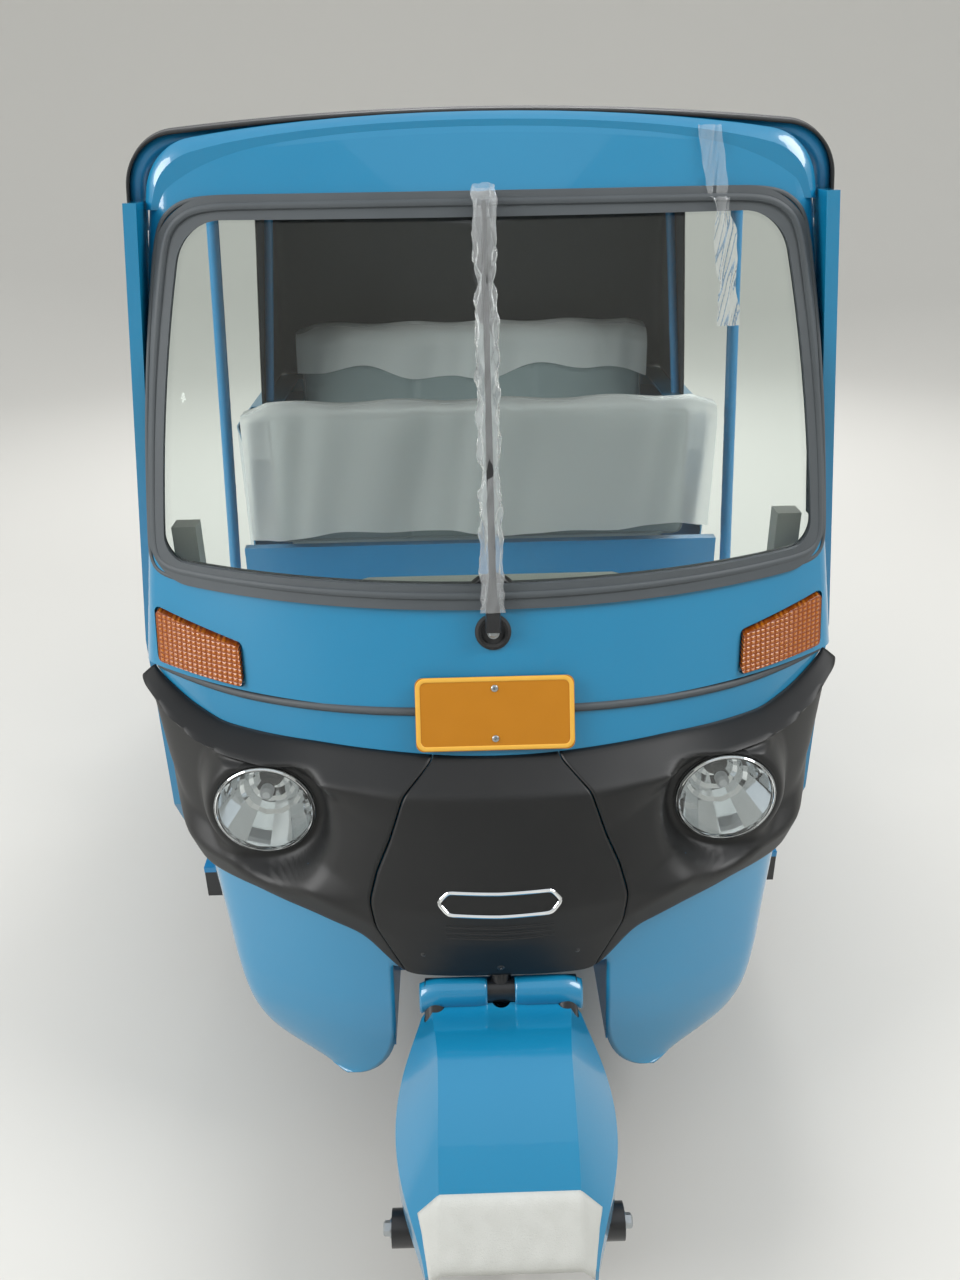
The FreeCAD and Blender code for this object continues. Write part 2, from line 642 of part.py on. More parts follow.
def offset_line(points, amount):
    """A line of (along, height) points moved to its left by amount, with mitred corners."""
    moved = []
    for k, here in enumerate(points):
        before, after = points[max(k - 1, 0)], points[min(k + 1, len(points) - 1)]
        ways = [(b - a).normalize() for a, b in ((before, here), (here, after)) if (b - a).Length > 0]
        sides = [vec(0, -way.z, way.y) for way in ways]
        bisector = (sides[0] + sides[-1]).normalize()
        moved.append(here + bisector * (amount / bisector.dot(sides[0])))
    return moved


def cowl_wire(station):
    """The cowl's wall cut along the vehicle at one station."""
    x, *rows = station
    outside = [vec(x, nose_y(x, waist_height - drop) - stand, waist_height - drop) for drop, stand in rows]
    inside = offset_line(outside, d.cowl_wall)
    ring = outside + list(reversed(inside))
    return Part.makePolygon([*ring, ring[0]])


cowl_half = Part.makeLoft([cowl_wire(station) for station in cowl_stations], True, True)
seam_outline = [(0, waist_height - 20), (96, waist_height - 20), (97, waist_height - 65), (142, waist_height - 100),
                (165, waist_height - 168), (186, waist_height - 215), (199, waist_height - 262),
                (191, waist_height - 308), (144, waist_height - 396), (120, waist_height - 440),
                (0, waist_height - 440)]
seam_half = front_prism(seam_outline, front_end, hoop_y)
centre_half = cowl_half.common(seam_half)
lug_z, lugs = waist_height - 170, []
for x in (-90, 90):
    lug_y = nose_y(x, lug_z)
    lugs.append(rod(vec(x, lug_y - 41, lug_z), vec(x, lug_y + 10, lug_z), 18))
cowl_centre = joined([centre_half, mirrored(centre_half), *lugs]).cut(nose_volume(d.seat_gap))
named("cowl_centre", cowl_centre)

lamp_y = hoop_y - d.lamp_forward


def lamp_rod(y0, y1, diameter):
    """A round bar along the vehicle through the left headlamp."""
    return rod(vec(d.lamp_side, y0, d.lamp_height), vec(d.lamp_side, y1, d.lamp_height), diameter)


seam_gap = 2
bowl_depth = 92
bowl_room = lamp_rod(lamp_y - 60, lamp_y + 160, d.lamp_diameter + 2 * d.seat_gap)
pod = lamp_rod(lamp_y + 2, lamp_y + 76, d.lamp_diameter + 14)
pod = pod.cut(nose_volume(d.seat_gap)).cut(slab(None, None, None, None, waist_height - 90, None))
wing = cowl_half.cut(seam_half).cut(seam_half.translated(vec(seam_gap, 0, 0)))
wing = joined([wing, pod]).cut(bowl_room)
both_sides("cowl_wing", wing)
nose_holes = joined([bowl_room, mirrored(bowl_room)])
named("front_lower_shell", lower_shell.cut(nose_holes))
bowl = lamp_rod(lamp_y, lamp_y + bowl_depth, d.lamp_diameter)
bowl_radius = 96
bowl_middle = vec(d.lamp_side, lamp_y - 14, d.lamp_height)
dish = Part.makeSphere(bowl_radius, bowl_middle).common(lamp_rod(lamp_y - 1, lamp_y + 200, d.lamp_diameter - 8))
bulb_way = vec(0, 1, 0)
bulb_foot = bowl_middle + bulb_way * (bowl_radius + 2)
bulb = joined([rod(bulb_foot, bulb_foot - bulb_way * 34, 30), rod(bulb_foot, bulb_foot - bulb_way * 52, 14)])
pair_of("headlamp_bowls", joined([bowl.cut(dish), bulb]))
dome_radius = 300
lens = lamp_rod(lamp_y - 14, lamp_y - d.seat_gap, d.lamp_diameter)
dome = Part.makeSphere(dome_radius, vec(d.lamp_side, lamp_y - 13 + dome_radius, d.lamp_height))
pair_of("headlamp_lenses", lens.common(dome))

signal = front_volume(9).cut(front_volume(-signal_sink + d.seat_gap))
pair_of("indicators", signal.common(signal_prism(0)))

face_way = vec(0, math.sin(face_angle), math.cos(face_angle))
face_out = vec(0, -math.cos(face_angle), math.sin(face_angle))
plate_point = vec(0, face_y(d.plate_middle), d.plate_middle)
plate_back = face_out * d.plate_stand
plate_across, plate_up = vec(d.plate_length / 2, 0, 0), face_way * (d.plate_height / 2)
plate_turns = ((-1, -1), (1, -1), (1, 1), (-1, 1))
plate_corners = [plate_point + plate_back + plate_across * i + plate_up * k for i, k in plate_turns]
plate = prism(plate_corners, face_out * d.plate_thickness)
plate = rounded(plate, 12, lambda e: abs(e.tangentAt(e.FirstParameter).dot(face_out)) > 0.99)
for way in (-1, 1):
    spot = plate_point + plate_up * way * 0.68
    plate = plate.fuse(rod(spot, spot + plate_back + face_out, 16))
named("front_plate", plate.cut(nose_volume(d.seat_gap)).cut(front_volume(d.seat_gap)))

# Wiper, parked upright in the middle of the screen

wiper_pivot = vec(0, wiper_y, wiper_z)
spindle = rod(wiper_pivot - face_out * 9, wiper_pivot + face_out * 18, 20)
collar = rod(wiper_pivot + face_out * 0.3, wiper_pivot + face_out * 10, 44)
arm_foot = wiper_pivot + face_out * 16
wiper_arm = prism([arm_foot + vec(x, 0, 0) for x in (-7, 7)]
                  + [arm_foot + face_way * 430 + vec(x, 0, 0) for x in (5, -5)], face_out * 6)
blade_foot = arm_foot + face_way * 190 - face_out * 8
wiper_blade = prism([blade_foot + vec(x, 0, 0) for x in (-6, 6)]
                    + [blade_foot + face_way * 430 + vec(x, 0, 0) for x in (6, -6)], face_out * 9)
named("wiper", joined([spindle, collar, wiper_arm, wiper_blade]))

# Dashboard: a shelf with an instrument pod, and a pad at the foot of each pillar

dash_top, dash_depth = d.screen_foot_height - 155, 70
dash_front, dash_back = hoop_y - 400, hoop_y - 205
dash_profile = [(dash_front, dash_top), (dash_back - 25, dash_top), (dash_back, dash_top - 30),
                (dash_back - 20, dash_top - dash_depth), (dash_front, dash_top - dash_depth)]
dash = side_prism(dash_profile, -d.waist_half, d.waist_half)
pod_foot, pod_top, pod_back = d.screen_foot_height + 7, d.screen_foot_height + 25, hoop_y - 200
pod_outline = [(-215, pod_foot), (215, pod_foot), (205, pod_top - 4), (190, pod_top), (-190, pod_top), (-205, pod_top - 4)]
pod = front_prism(pod_outline, dash_front, pod_back)
stem_profile = [(dash_front, dash_top - 10), (pod_back - 70, dash_top - 10), (pod_back - 60, dash_top + 100),
                (pod_back - 45, dash_top + 140), (pod_back, pod_foot), (pod_back, pod_top), (dash_front, pod_top)]
stem = side_prism(stem_profile, -70, 70)
pads = [stem]
for side in (left, right):
    pads.append(block(side * 505 - 20, side * 505 + 20, hoop_y - 60, hoop_y - 22, dash_top - 40, pod_top + 40))
    pads.append(block(side * 460 - 65, side * 460 + 65, dash_back - 60, hoop_y - 22, dash_top - 60, dash_top - 25))
split_z = waist_height - 6
upper_room = front_volume(-d.skin - signal_sink - 2 * d.seat_gap).cut(slab(None, None, None, None, None, split_z))
lower_room = nose_volume(-d.skin - 2 * d.seat_gap).cut(slab(None, None, None, None, split_z, None))
dash = joined([dash, pod, *pads])
dash = joined([dash.common(upper_room), dash.common(lower_room)])
named("dashboard", dash.cut(steer_rod(700, 1000, d.head_tube_diameter + 20)))

# Side frames, floor and chassis

waist_z = "screen_foot_height - waist_drop"
frame_corners = [
    ("hoop_y - 48", waist_z), ("hoop_y + 12", waist_z), ("hoop_y + 12", "floor_height + 240"),
    ("hoop_y + 60", "floor_height + 130"), ("hoop_y + 170", "floor_height + sill_height"),
    ("quarter_y", "floor_height + sill_height"), ("quarter_y", "floor_height - 62"),
    ("hoop_y + 110", "floor_height - 62"), ("hoop_y - 48", f"{waist_z} - 348"),
]
pillar_foot = d.waist_half + d.seat_gap
pillar_sections = [(pillar_foot, waist_height), (pillar_foot - (d.waist_half - d.shoulder_half), d.shoulder_height)]
pillar_outline = [(x, z) for x, z in pillar_sections]
pillar_outline += [(x + d.frame_thickness, z) for x, z in reversed(pillar_sections)]
pillar = front_prism(pillar_outline, hoop_y - 48, hoop_y + 12)
for side in (left, right):
    name = side_name("side_frame", side)
    frame = pad_body(f"{name}_foot", "YZ_Plane", frame_corners, "frame_thickness")
    frame.Placement.Base.x = side
    bound(frame, Placement__Base__x=f"{side} * (waist_half + seat_gap + frame_thickness / 2)")
    post = doc.addObject("Part::Feature", f"{name}_pillar")
    post.Shape = pillar if side == left else mirrored(pillar)
    whole = doc.addObject("Part::MultiFuse", f"{name}_whole")
    whole.Shapes = [frame, post]
    named(name, whole)

floor_half, foot_well = "waist_half - seat_gap", "foot_well_half"
wheel_side, wheel_back = "recess_half + seat_gap", "front_axle_y + recess_back + seat_gap"
floor_left = [
    (wheel_side, wheel_back), (wheel_side, "hoop_y - 250"), (foot_well, "hoop_y - 250"),
    (foot_well, "hoop_y"), (floor_half, "hoop_y"), (floor_half, "deck_y"),
]
floor_corners = floor_left + [(f"-({x})", y) for x, y in reversed(floor_left)]
floor = pad_body("floor", "XY_Plane", floor_corners, "floor_thickness", middle=False)
named("floor", placed(floor, z="floor_height - floor_thickness"))

rails = []
rail_top = d.floor_height - d.floor_thickness - d.seat_gap
rail_front = front_axle_y + d.recess_back + 20
for side in (left, right):
    x = side * d.rail_side
    rails.append(block(x - d.rail_width / 2, x + d.rail_width / 2, rail_front, rear_axle_y + 215,
                       d.rail_foot, rail_top))
cross_half = d.waist_half - d.seat_gap
for y in (hoop_y + 22, partition_y - 12, rear_axle_y - d.arm_pivot + 395):
    rails.append(block(-cross_half, cross_half, y - 20, y + 20, d.rail_foot, rail_top))
for way in (-1, 1):
    y = rear_axle_y + way * (d.engine_length / 2 + d.seat_gap + 12)
    rails.append(block(-d.rail_side, d.rail_side, y - 12, y + 12, rail_top - 25, rail_top))
pivot_y = rear_axle_y - d.arm_pivot + 395
for side in (left, right):
    x = side * d.arm_side
    rails.append(rod(vec(x - 45, pivot_y + 50, 280), vec(x + 45, pivot_y + 50, 280), 24))
    for ear in (-45, 33):
        rails.append(block(x + ear, x + ear + 12, pivot_y, pivot_y + 62, 262, 300))
named("chassis", joined(rails))

partition = box_feature("partition_panel", "2 * partition_half", "partition_depth",
                        "partition_height - floor_height - seat_gap", "-partition_half",
                        "partition_y - partition_depth", "floor_height + seat_gap")
named("partition", partition)

# Driver's seat

seat_foot = "floor_height + seat_gap"
base_height = "seat_height - cushion_depth - floor_height - 2 * seat_gap"
seat_y = "partition_y - partition_depth - seat_gap - driver_seat_length"
seat_base = box_feature("driver_seat_block", "2 * driver_seat_half", "driver_seat_length", base_height,
                        "-driver_seat_half", seat_y, seat_foot)
hollow = box_feature("driver_seat_hollow", "2 * (driver_seat_half - skin)", "driver_seat_length - 2 * skin",
                     base_height, "-(driver_seat_half - skin)", f"{seat_y} + skin", f"{seat_foot} - skin")
base = doc.addObject("Part::Cut", "driver_seat_box")
base.Base, base.Tool = seat_base, hollow
named("driver_seat_base", base)
cushion = box_feature("driver_cushion_block", "2 * driver_seat_half", "driver_seat_length", "cushion_depth",
                      "-driver_seat_half", seat_y, "seat_height - cushion_depth")
named("driver_cushion", softened("driver_cushion_round", cushion, "cushion_round"))
rest = box_feature("driver_backrest_block", "2 * backrest_half", "60",
                   "backrest_top - partition_height - seat_gap", "-backrest_half",
                   "partition_y - partition_depth / 2 - 30", "partition_height + seat_gap")
named("driver_backrest", softened("driver_backrest_round", rest, "cushion_round"))

# Passengers' bench

bench_depth = "shelf_y - 58 - seat_back_depth - deck_y - 6 - seat_gap"
bench = box_feature("bench_cushion_block", "2 * bench_half", bench_depth,
                    "bench_top - deck_height - seat_gap", "-bench_half", "deck_y + 6", "deck_height + seat_gap")
named("bench_cushion", softened("bench_cushion_round", bench, "cushion_round"))
back_corners = [
    ("shelf_y - 58 - seat_back_depth", "deck_height + seat_gap"), ("shelf_y - 58", "deck_height + seat_gap"),
    ("shelf_y - 58 + seat_back_lean", "bench_back_top"),
    ("shelf_y - 58 + seat_back_lean - seat_back_depth", "bench_back_top"),
]
bench_back = pad_body("bench_backrest", "YZ_Plane", back_corners, "2 * bench_half")
named("bench_backrest", soften(bench_back, "cushion_round", lambda e: True))

# Rear body

tub_flare_y = quarter_y + 170


def tub_volume(grow, top):
    """The rear body seen from above, pushed up: flared behind the doorways, round at its corners."""
    half, back = d.body_half_width + grow, body_back + grow
    corners = [(side_x + grow, quarter_y), (half, tub_flare_y), (half, back)]
    points = [vec(x, y, d.floor_height - 62) for x, y in corners]
    points += [vec(-p.x, p.y, p.z) for p in reversed(points)]
    solid = prism(points, vec(0, 0, top - d.floor_height + 62))
    solid = rounded(solid, 90 + grow, lambda e: along(e, 0, 0, 1) and e.CenterOfMass.y > back - 1)
    flare = [e for e in solid.Edges if along(e, 0, 0, 1) and abs(e.CenterOfMass.y - tub_flare_y) < 1]
    return solid.makeFillet(160 + grow, flare)


tub_inner = tub_volume(-d.skin, d.quarter_height + 50)
tub_wall = tub_volume(0, d.quarter_height).cut(tub_inner)
rim = tub_volume(-d.skin, d.quarter_height).cut(tub_volume(-88, d.quarter_height + 50))
rim = rim.cut(block(-900, 900, -2000, 2000, 0, d.quarter_height - d.skin))
rim = rim.cut(block(-900, 900, quarter_y - 1, deck_y + 330, 0, 2000))
arch = rod(vec(-900, rear_axle_y, axle_z), vec(900, rear_axle_y, axle_z), 2 * d.arch_radius)
tub = tub_wall.fuse(rim).cut(arch)
deck_start, shelf = deck_y + d.seat_gap, rear_axle_y + 145
deck_foot, deck_top, shelf_top, sheet_depth = d.floor_height - d.floor_thickness, d.deck_height, d.door_top + 30, 8
deck_outline = [
    (deck_start, deck_foot), (deck_start, deck_top), (shelf - sheet_depth, deck_top),
    (shelf - sheet_depth, shelf_top), (body_back, shelf_top), (body_back, shelf_top - sheet_depth),
    (shelf, shelf_top - sheet_depth), (shelf, deck_top - sheet_depth),
    (deck_start + sheet_depth, deck_top - sheet_depth), (deck_start + sheet_depth, deck_foot),
]
deck = side_prism(deck_outline, -d.body_half_width, d.body_half_width)
named("seat_deck", deck.common(tub_volume(-d.skin - d.seat_gap, d.quarter_height)))

tail_half = d.door_half + d.door_gap + 60
quarter = tub.common(block(tail_half, 900, quarter_y - 10, body_back + 10, 0, 2000))
both_sides("rear_quarter", quarter)
tail = tub.common(block(-tail_half + 0.1, tail_half - 0.1, body_back - 100, body_back + 10, 0, 2000))
hole_half = d.door_half + d.door_gap
door_hole = block(-hole_half, hole_half, body_back - 20, body_back + 20, d.door_foot - d.door_gap, d.door_top + d.door_gap)
tail = tail.cut(door_hole)
door = block(-d.door_half, d.door_half, body_back - d.skin, body_back, d.door_foot, d.door_top)
hinge_point = vec(0, body_back + d.hinge_radius + 1, d.door_top + 3)
for x in (-d.hinge_side, d.hinge_side):
    across = vec(d.hinge_length / 2, 0, 0)
    middle = hinge_point + vec(x, 0, 0)
    leaf = block(x - across.x, x + across.x, body_back, body_back + 4, d.door_top - 40, d.door_top + 3)
    barrel = rod(middle - across, middle + across, 2 * d.hinge_radius)
    pin_room = rod(middle - across * 2, middle + across * 2, d.hinge_pin + 2 * d.running_gap)
    door = door.fuse([leaf, barrel]).cut(pin_room)
    end = vec(d.hinge_length / 2 + 12, 0, 0)
    pin = rod(middle - end, middle + end, d.hinge_pin)
    ears = [block(x + way * (across.x + 7) - 5, x + way * (across.x + 7) + 5, body_back - 1,
                  body_back + 2 * d.hinge_radius, d.door_top, d.door_top + 24) for way in (-1, 1)]
    tail = tail.fuse([pin, *[ear.cut(block(-900, 900, body_back - 9, body_back, 0, d.door_top + d.door_gap)) for ear in ears]])
named("tail_panel", tail.removeSplitter())
named("engine_door", door.removeSplitter())

bumper = box_feature("bumper_block", "2 * (door_half + 190)", "bumper_depth - seat_gap", "62",
                     "-(door_half + 190)", "body_back + seat_gap", "floor_height - 50")
named("rear_bumper", softened("bumper_round", bumper, "bumper_round", lambda e: e.CenterOfMass.y > body_back + 20))
tail_lamps = doc.addObject("Part::Compound", "tail_lamps")
lamps = []
for side in (left, right):
    name = side_name("tail_lamp", side)
    lamp = box_feature(f"{name}_block", "90", "24", "150", f"{side} * 480 - 45",
                       "body_back + seat_gap", "door_top - 190")
    lamps.append(softened(f"{name}_round", lamp, "lamp_round", lambda e: e.CenterOfMass.y > body_back + 20))
tail_lamps.Links = lamps
named("tail_lamps", tail_lamps)


# Canopy and hood frame


def canopy_half(y, z):
    """Half the canopy's width at a place along the vehicle and a height."""
    share = (y - hoop_y - 3) / (body_back - 13 - hoop_y)
    foot_half = d.canopy_half_front + share * (d.canopy_half_back - d.canopy_half_front)
    return foot_half - (z - d.quarter_height) * math.tan(math.radians(d.canopy_side_lean))


def canopy_volume(grow):
    """The canopy as a closed block: an arched roof on leaning sides, with a leaning back."""
    lean = math.tan(math.radians(d.canopy_lean))
    foot = d.quarter_height + d.seat_gap
    wires = []
    for y, crown in ((hoop_y + 3, d.hoop_height + d.canopy_step), (body_back - 10, d.overall_height)):
        wires.append(arch_wire(y, lambda z: canopy_half(y, z) + grow, crown + grow, d.hoop_shoulder + grow,
                               d.roof_crown, foot))
    volume = Part.makeLoft(wires, True, True)
    back = body_back - 6 + grow / math.cos(math.atan(lean))
    above = d.overall_height + 100
    cut_top = back - (above - foot) * lean
    behind = [(back, foot), (back + 400, foot - 1), (back + 400, above + 100), (cut_top, above)]
    return volume.cut(side_prism(behind, -900, 900))


side_gap = side_prism([
    (hoop_y - 100, d.quarter_height - 50), (hoop_y - 100, d.canopy_side_foot),
    (deck_y + 250, d.canopy_side_foot), (deck_y + 350, d.quarter_height - 50),
], -900, 900)
canopy_inner = canopy_volume(-d.canopy_skin)
below = block(-900, 900, -1500, 1500, 0, d.quarter_height + d.seat_gap + 0.1)
canopy = canopy_volume(0).cut(canopy_inner.fuse(below)).cut(side_gap)
named("canopy", canopy)

tube = d.tube_diameter
frame_gap = d.canopy_skin + d.seat_gap


def under_canopy(y, z):
    """Where a hoop's tube lies across, against the canopy's inside."""
    return canopy_half(y, z) - frame_gap - tube / 2


def hoop(y, foot, foot_half):
    """A hoop of tube under the canopy, whose legs lean from its feet to the rail's height."""
    crown = canopy_crown(y) - frame_gap - tube / 2
    shoulder = d.hoop_shoulder - frame_gap - tube / 2
    spring = rail_z + 60
    lean = (foot_half - under_canopy(y, spring)) / (spring - foot)
    arch = arch_wire(y, lambda z: foot_half - (z - foot) * lean, crown, shoulder, d.roof_crown, foot)
    ring = Part.Wire(Part.makeCircle(tube / 2, vec(foot_half, y, foot), vec(0, 0, 1)))
    legs = Part.Wire(arch.Edges[1:]).makePipeShell([ring], True, True)
    return legs.cut(slab(None, None, None, None, None, foot))


def canopy_crown(y):
    """The canopy's height on the centre line at a place along the vehicle."""
    share = (y - hoop_y - 3) / (body_back - 13 - hoop_y)
    front_crown = d.hoop_height + d.canopy_step
    return front_crown + share * (d.overall_height - front_crown)


rear_hoop_y = deck_y + 400
rail_z = d.overall_height - d.roof_crown - d.hoop_shoulder - 20
front_hoop_y = hoop_y + 26
front_foot = rail_z - 40
pole_foot = d.floor_height + d.sill_height + d.seat_gap
rear_foot = d.quarter_height + d.seat_gap
hoop_table = [
    # along, foot, half width at the foot
    (front_hoop_y, front_foot, under_canopy(front_hoop_y, front_foot)),
    (pole_y, pole_foot, d.waist_half + d.seat_gap + d.frame_thickness / 2),
    (rear_hoop_y, rear_foot, under_canopy(rear_hoop_y, rear_foot)),
]
hoops = [hoop(*row) for row in hoop_table]
for side in (left, right):
    points = [vec(side * under_canopy(y, rail_z), y, rail_z) for y, foot, half in hoop_table]
    hoops += [rod(start, end, tube * 0.8) for start, end in zip(points, points[1:])]
named("hood_frame", joined(hoops))

# Engine and silencer

engine = box_feature("engine_block", "engine_width", "engine_length", "engine_height",
                     "-engine_width / 2", "rear_axle_y - engine_length / 2", "engine_foot")
named("engine", softened("engine_round", engine, "engine_corner"))
silencer_y, silencer_z = rear_axle_y + 262, 300
silencer = rod(vec(-d.silencer_length / 2, silencer_y, silencer_z), vec(d.silencer_length / 2, silencer_y, silencer_z),
               d.silencer_diameter)
pipe_end = vec(90, rear_axle_y + d.engine_length / 2 + d.seat_gap, silencer_z + 36)
named("silencer", joined([silencer, rod(vec(90, silencer_y, silencer_z + 36), pipe_end, 34),
                          rod(vec(-120, silencer_y, silencer_z - 20), vec(-120, silencer_y + 20, silencer_z - 90), 28)]))

# Rear suspension: an arm, a stub axle and a damper each side

arm_x, arm_z = d.arm_side, 280
hub_end = d.rear_track / 2 + 32
arm_pivot = vec(arm_x, pivot_y + 50, arm_z)
wheel_point = vec(arm_x, rear_axle_y, axle_z)
arm = rod(arm_pivot, wheel_point, 46)
eye = rod(arm_pivot - vec(32, 0, 0), arm_pivot + vec(32, 0, 0), 54)
stub = rod(wheel_point, vec(hub_end, rear_axle_y, axle_z), d.axle_diameter)
thread = rod(vec(hub_end, rear_axle_y, axle_z), vec(hub_end + d.thread_length, rear_axle_y, axle_z), d.thread_diameter)
boss = rod(wheel_point - vec(26, 0, 0), wheel_point + vec(30, 0, 0), 80)
arm = joined([arm, eye, boss, stub, thread])
arm = arm.cut(rod(arm_pivot - vec(60, 0, 0), arm_pivot + vec(60, 0, 0), 24 + 2 * d.seat_gap))
pair_of("rear_arms", arm)
foot = vec(arm_x, rear_axle_y - 60, axle_z + 52)
top = vec(arm_x, rear_axle_y - 90, d.deck_height - sheet_depth - d.seat_gap)
damper = joined([rod(foot, foot + (top - foot) * 0.55, 56), rod(foot + (top - foot) * 0.5, top, 44)])
damper = damper.cut(block(-900, 900, -2000, 2000, top.z, 2000))
pair_of("rear_dampers", damper.cut(arm))
shaft_ends = d.arm_side - 26 - 2
shafts = [rod(vec(side * (d.engine_width / 2 + d.seat_gap), rear_axle_y, axle_z + 20),
              vec(side * shaft_ends, rear_axle_y, axle_z + 6), 26) for side in (left, right)]
named("drive_shafts", Part.makeCompound([s for s in shafts]))

# Wheels

tyre_corners = [
    ("-rim_width / 2 + 4", "rim_diameter / 2 + running_gap"), ("-rim_width / 2 + 4", "rim_diameter / 2 + 16"),
    ("-tyre_width * 0.46", "rim_diameter / 2 + 26"), ("-tyre_width / 2", "rim_diameter / 2 + 54"),
    ("-tyre_width * 0.47", "tyre_diameter / 2 - 24"), ("-tyre_width * 0.36", "tyre_diameter / 2 - 6"),
    ("-tyre_width * 0.2", "tyre_diameter / 2"),
]
tyre_corners += [(across.replace("-", "", 1).replace("+ 4", "- 4"), radius) for across, radius in reversed(tyre_corners)]
rim_half = [
    ("-rim_width / 2", "axle_diameter / 2 + running_gap + 86"), ("-rim_width / 2", "rim_diameter / 2 + 13"),
    ("-rim_width / 2 + 4 - running_gap", "rim_diameter / 2 + 13"),
    ("-rim_width / 2 + 4 - running_gap", "rim_diameter / 2"),
]
rim_corners = rim_half + [
    ("rim_width / 2 - 4 + running_gap", "rim_diameter / 2"), ("rim_width / 2 - 4 + running_gap", "rim_diameter / 2 + 13"),
    ("rim_width / 2", "rim_diameter / 2 + 13"), ("rim_width / 2", "rim_diameter / 2 - 5"),
    ("4", "rim_diameter / 2 - 5"), ("4", "36"), ("30", "32"), ("30", "axle_diameter / 2 + running_gap"),
    ("-30", "axle_diameter / 2 + running_gap"), ("-30", "32"), ("-4", "36"), ("-4", "rim_diameter / 2 - 5"),
    ("-rim_width / 2", "rim_diameter / 2 - 5"),
]
rim_corners = rim_corners[1:]
wheels = [
    # name, across, along
    ("front", "0", "front_axle_y"),
    ("rear_left", "rear_track / 2", "rear_axle_y"),
    ("rear_right", "-rear_track / 2", "rear_axle_y"),
]
for name, across, length in wheels:
    tyre = turned_body(f"tyre_{name}", tyre_corners)
    named(f"tyre_{name}", placed(tyre, across, length, "tyre_diameter / 2"))
    wheel = turned_body(f"rim_{name}", rim_corners)
    named(f"rim_{name}", placed(wheel, across, length, "tyre_diameter / 2"))

# Steering

fork_y, fork_z = crown_point.y, crown_point.z
pivot = vec(0, front_axle_y - d.pivot_forward, axle_z - 22)
axle_point = vec(0, front_axle_y, axle_z)
fork = [rod(crown_point - vec(d.fork_side + 16, 0, 0), crown_point + vec(d.fork_side + 16, 0, 0), 40)]
fork.append(rod(axle_point - vec(d.fork_side + 14, 0, 0), axle_point + vec(d.fork_side + 14, 0, 0), d.axle_diameter))
for side in (left, right):
    across = vec(side * d.fork_side, 0, 0)
    fork.append(rod(crown_point + across, pivot + across, d.fork_diameter))
    fork.append(rod(pivot + across - vec(side * 16, 0, 0), pivot + across + vec(side * d.bush_reach, 0, 0),
                    d.pivot_diameter))
    fork.append(rod(pivot + across, axle_point + across, 30))
    fork.append(rod(axle_point + across - vec(14, 0, 0), axle_point + across + vec(14, 0, 0), 46))
fork_shape = joined(fork)
bar_point = on_steer_axis(d.bar_height)
column = rod(crown_point, bar_point, d.column_diameter)
named("fork", fork_shape.cut(column))
named("steering_column", column)

guard_sections = [
    # in front of the axle, top, half width of the top, half width, knee, lower edge
    (-50, d.guard_top - 16, d.guard_half_top + 8, d.guard_half_side - 36, 400, 360),
    (15, d.guard_top - 5, d.guard_half_top + 4, d.guard_half_side - 13, 372, 310),
    (90, d.guard_top, d.guard_half_top - 2, d.guard_half_side, 350, 285),
    (165, d.guard_top - 42, d.guard_half_top - 2, d.guard_half_side - 6, 325, 270),
    (225, d.guard_top - 100, d.guard_half_top - 2, d.guard_half_side - 25, 300, 255),
    (d.front_overhang, d.guard_top - 184, d.guard_half_top - 3, d.guard_half_side - 45, 240, 228),
]


def guard_volume(grow, drop=0):
    """The mudguard as a closed block whose walls are moved outwards by grow: a flat top, two slanted sides."""
    wires = []
    for forward, top, top_half, half, knee, low in guard_sections:
        y = front_axle_y - forward - (grow * 0.6 if forward > 0 else 0)
        side = [(half + grow, low - drop), (half + grow, knee + grow * 0.4), (top_half + grow * 0.4, top + grow)]
        ring = [vec(x, y, z) for x, z in side] + [vec(-x, y, z) for x, z in reversed(side)]
        wires.append(Part.makePolygon([*ring, ring[0]]))
    return Part.makeLoft(wires, True, False)


nose_clear = slab(None, None, front_end + d.foam_thickness + 0.5, None, None, None)
guard = guard_volume(0).cut(guard_volume(-d.skin, 30)).common(nose_clear)
guard = guard.cut(rod(crown_point - vec(d.fork_side + 18, 0, 0), crown_point + vec(d.fork_side + 18, 0, 0), 42))
for side in (left, right):
    across = vec(side * d.fork_side, 0, 0)
    guard = guard.cut(rod(crown_point + across, pivot + across, d.fork_diameter + 2))
guard = guard.cut(rod(crown_point - steer_axis * 30, crown_point + steer_axis * 60, d.column_diameter + 2))
named("front_mudguard", guard)
foam = guard_volume(d.seat_gap + d.foam_thickness).cut(guard_volume(d.seat_gap))
foam_room = slab(-d.foam_half, d.foam_half, front_end, front_end + d.foam_width, None, None)
named("foam_strip", foam.common(foam_room))

bar_y, bar_z = bar_point.y, bar_point.z
bar_route = [
    vec(-d.bar_half, bar_y + d.bar_sweep, bar_z - 10), vec(-d.bar_half + 95, bar_y + 60, bar_z - 5),
    vec(-90, bar_y, bar_z), vec(90, bar_y, bar_z), vec(d.bar_half - 95, bar_y + 60, bar_z - 5),
    vec(d.bar_half, bar_y + d.bar_sweep, bar_z - 10),
]
handlebar = bent_tube(bar_route, 45, d.bar_diameter)
clamp = rod(bar_point - steer_axis * 16, bar_point + steer_axis * 16, 54)
named("handlebar", joined([handlebar, clamp]).cut(column))
grips = []
for side in (left, right):
    tip = vec(side * d.bar_half, bar_y + d.bar_sweep, bar_z - 10)
    way = (tip - vec(side * (d.bar_half - 95), bar_y + 60, bar_z - 5)).normalize()
    sleeve = rod(tip - way * (d.grip_length - 6), tip + way * 6, d.grip_diameter)
    grips.append(sleeve.cut(handlebar))
named("grips", Part.makeCompound(grips))

# Checks and export

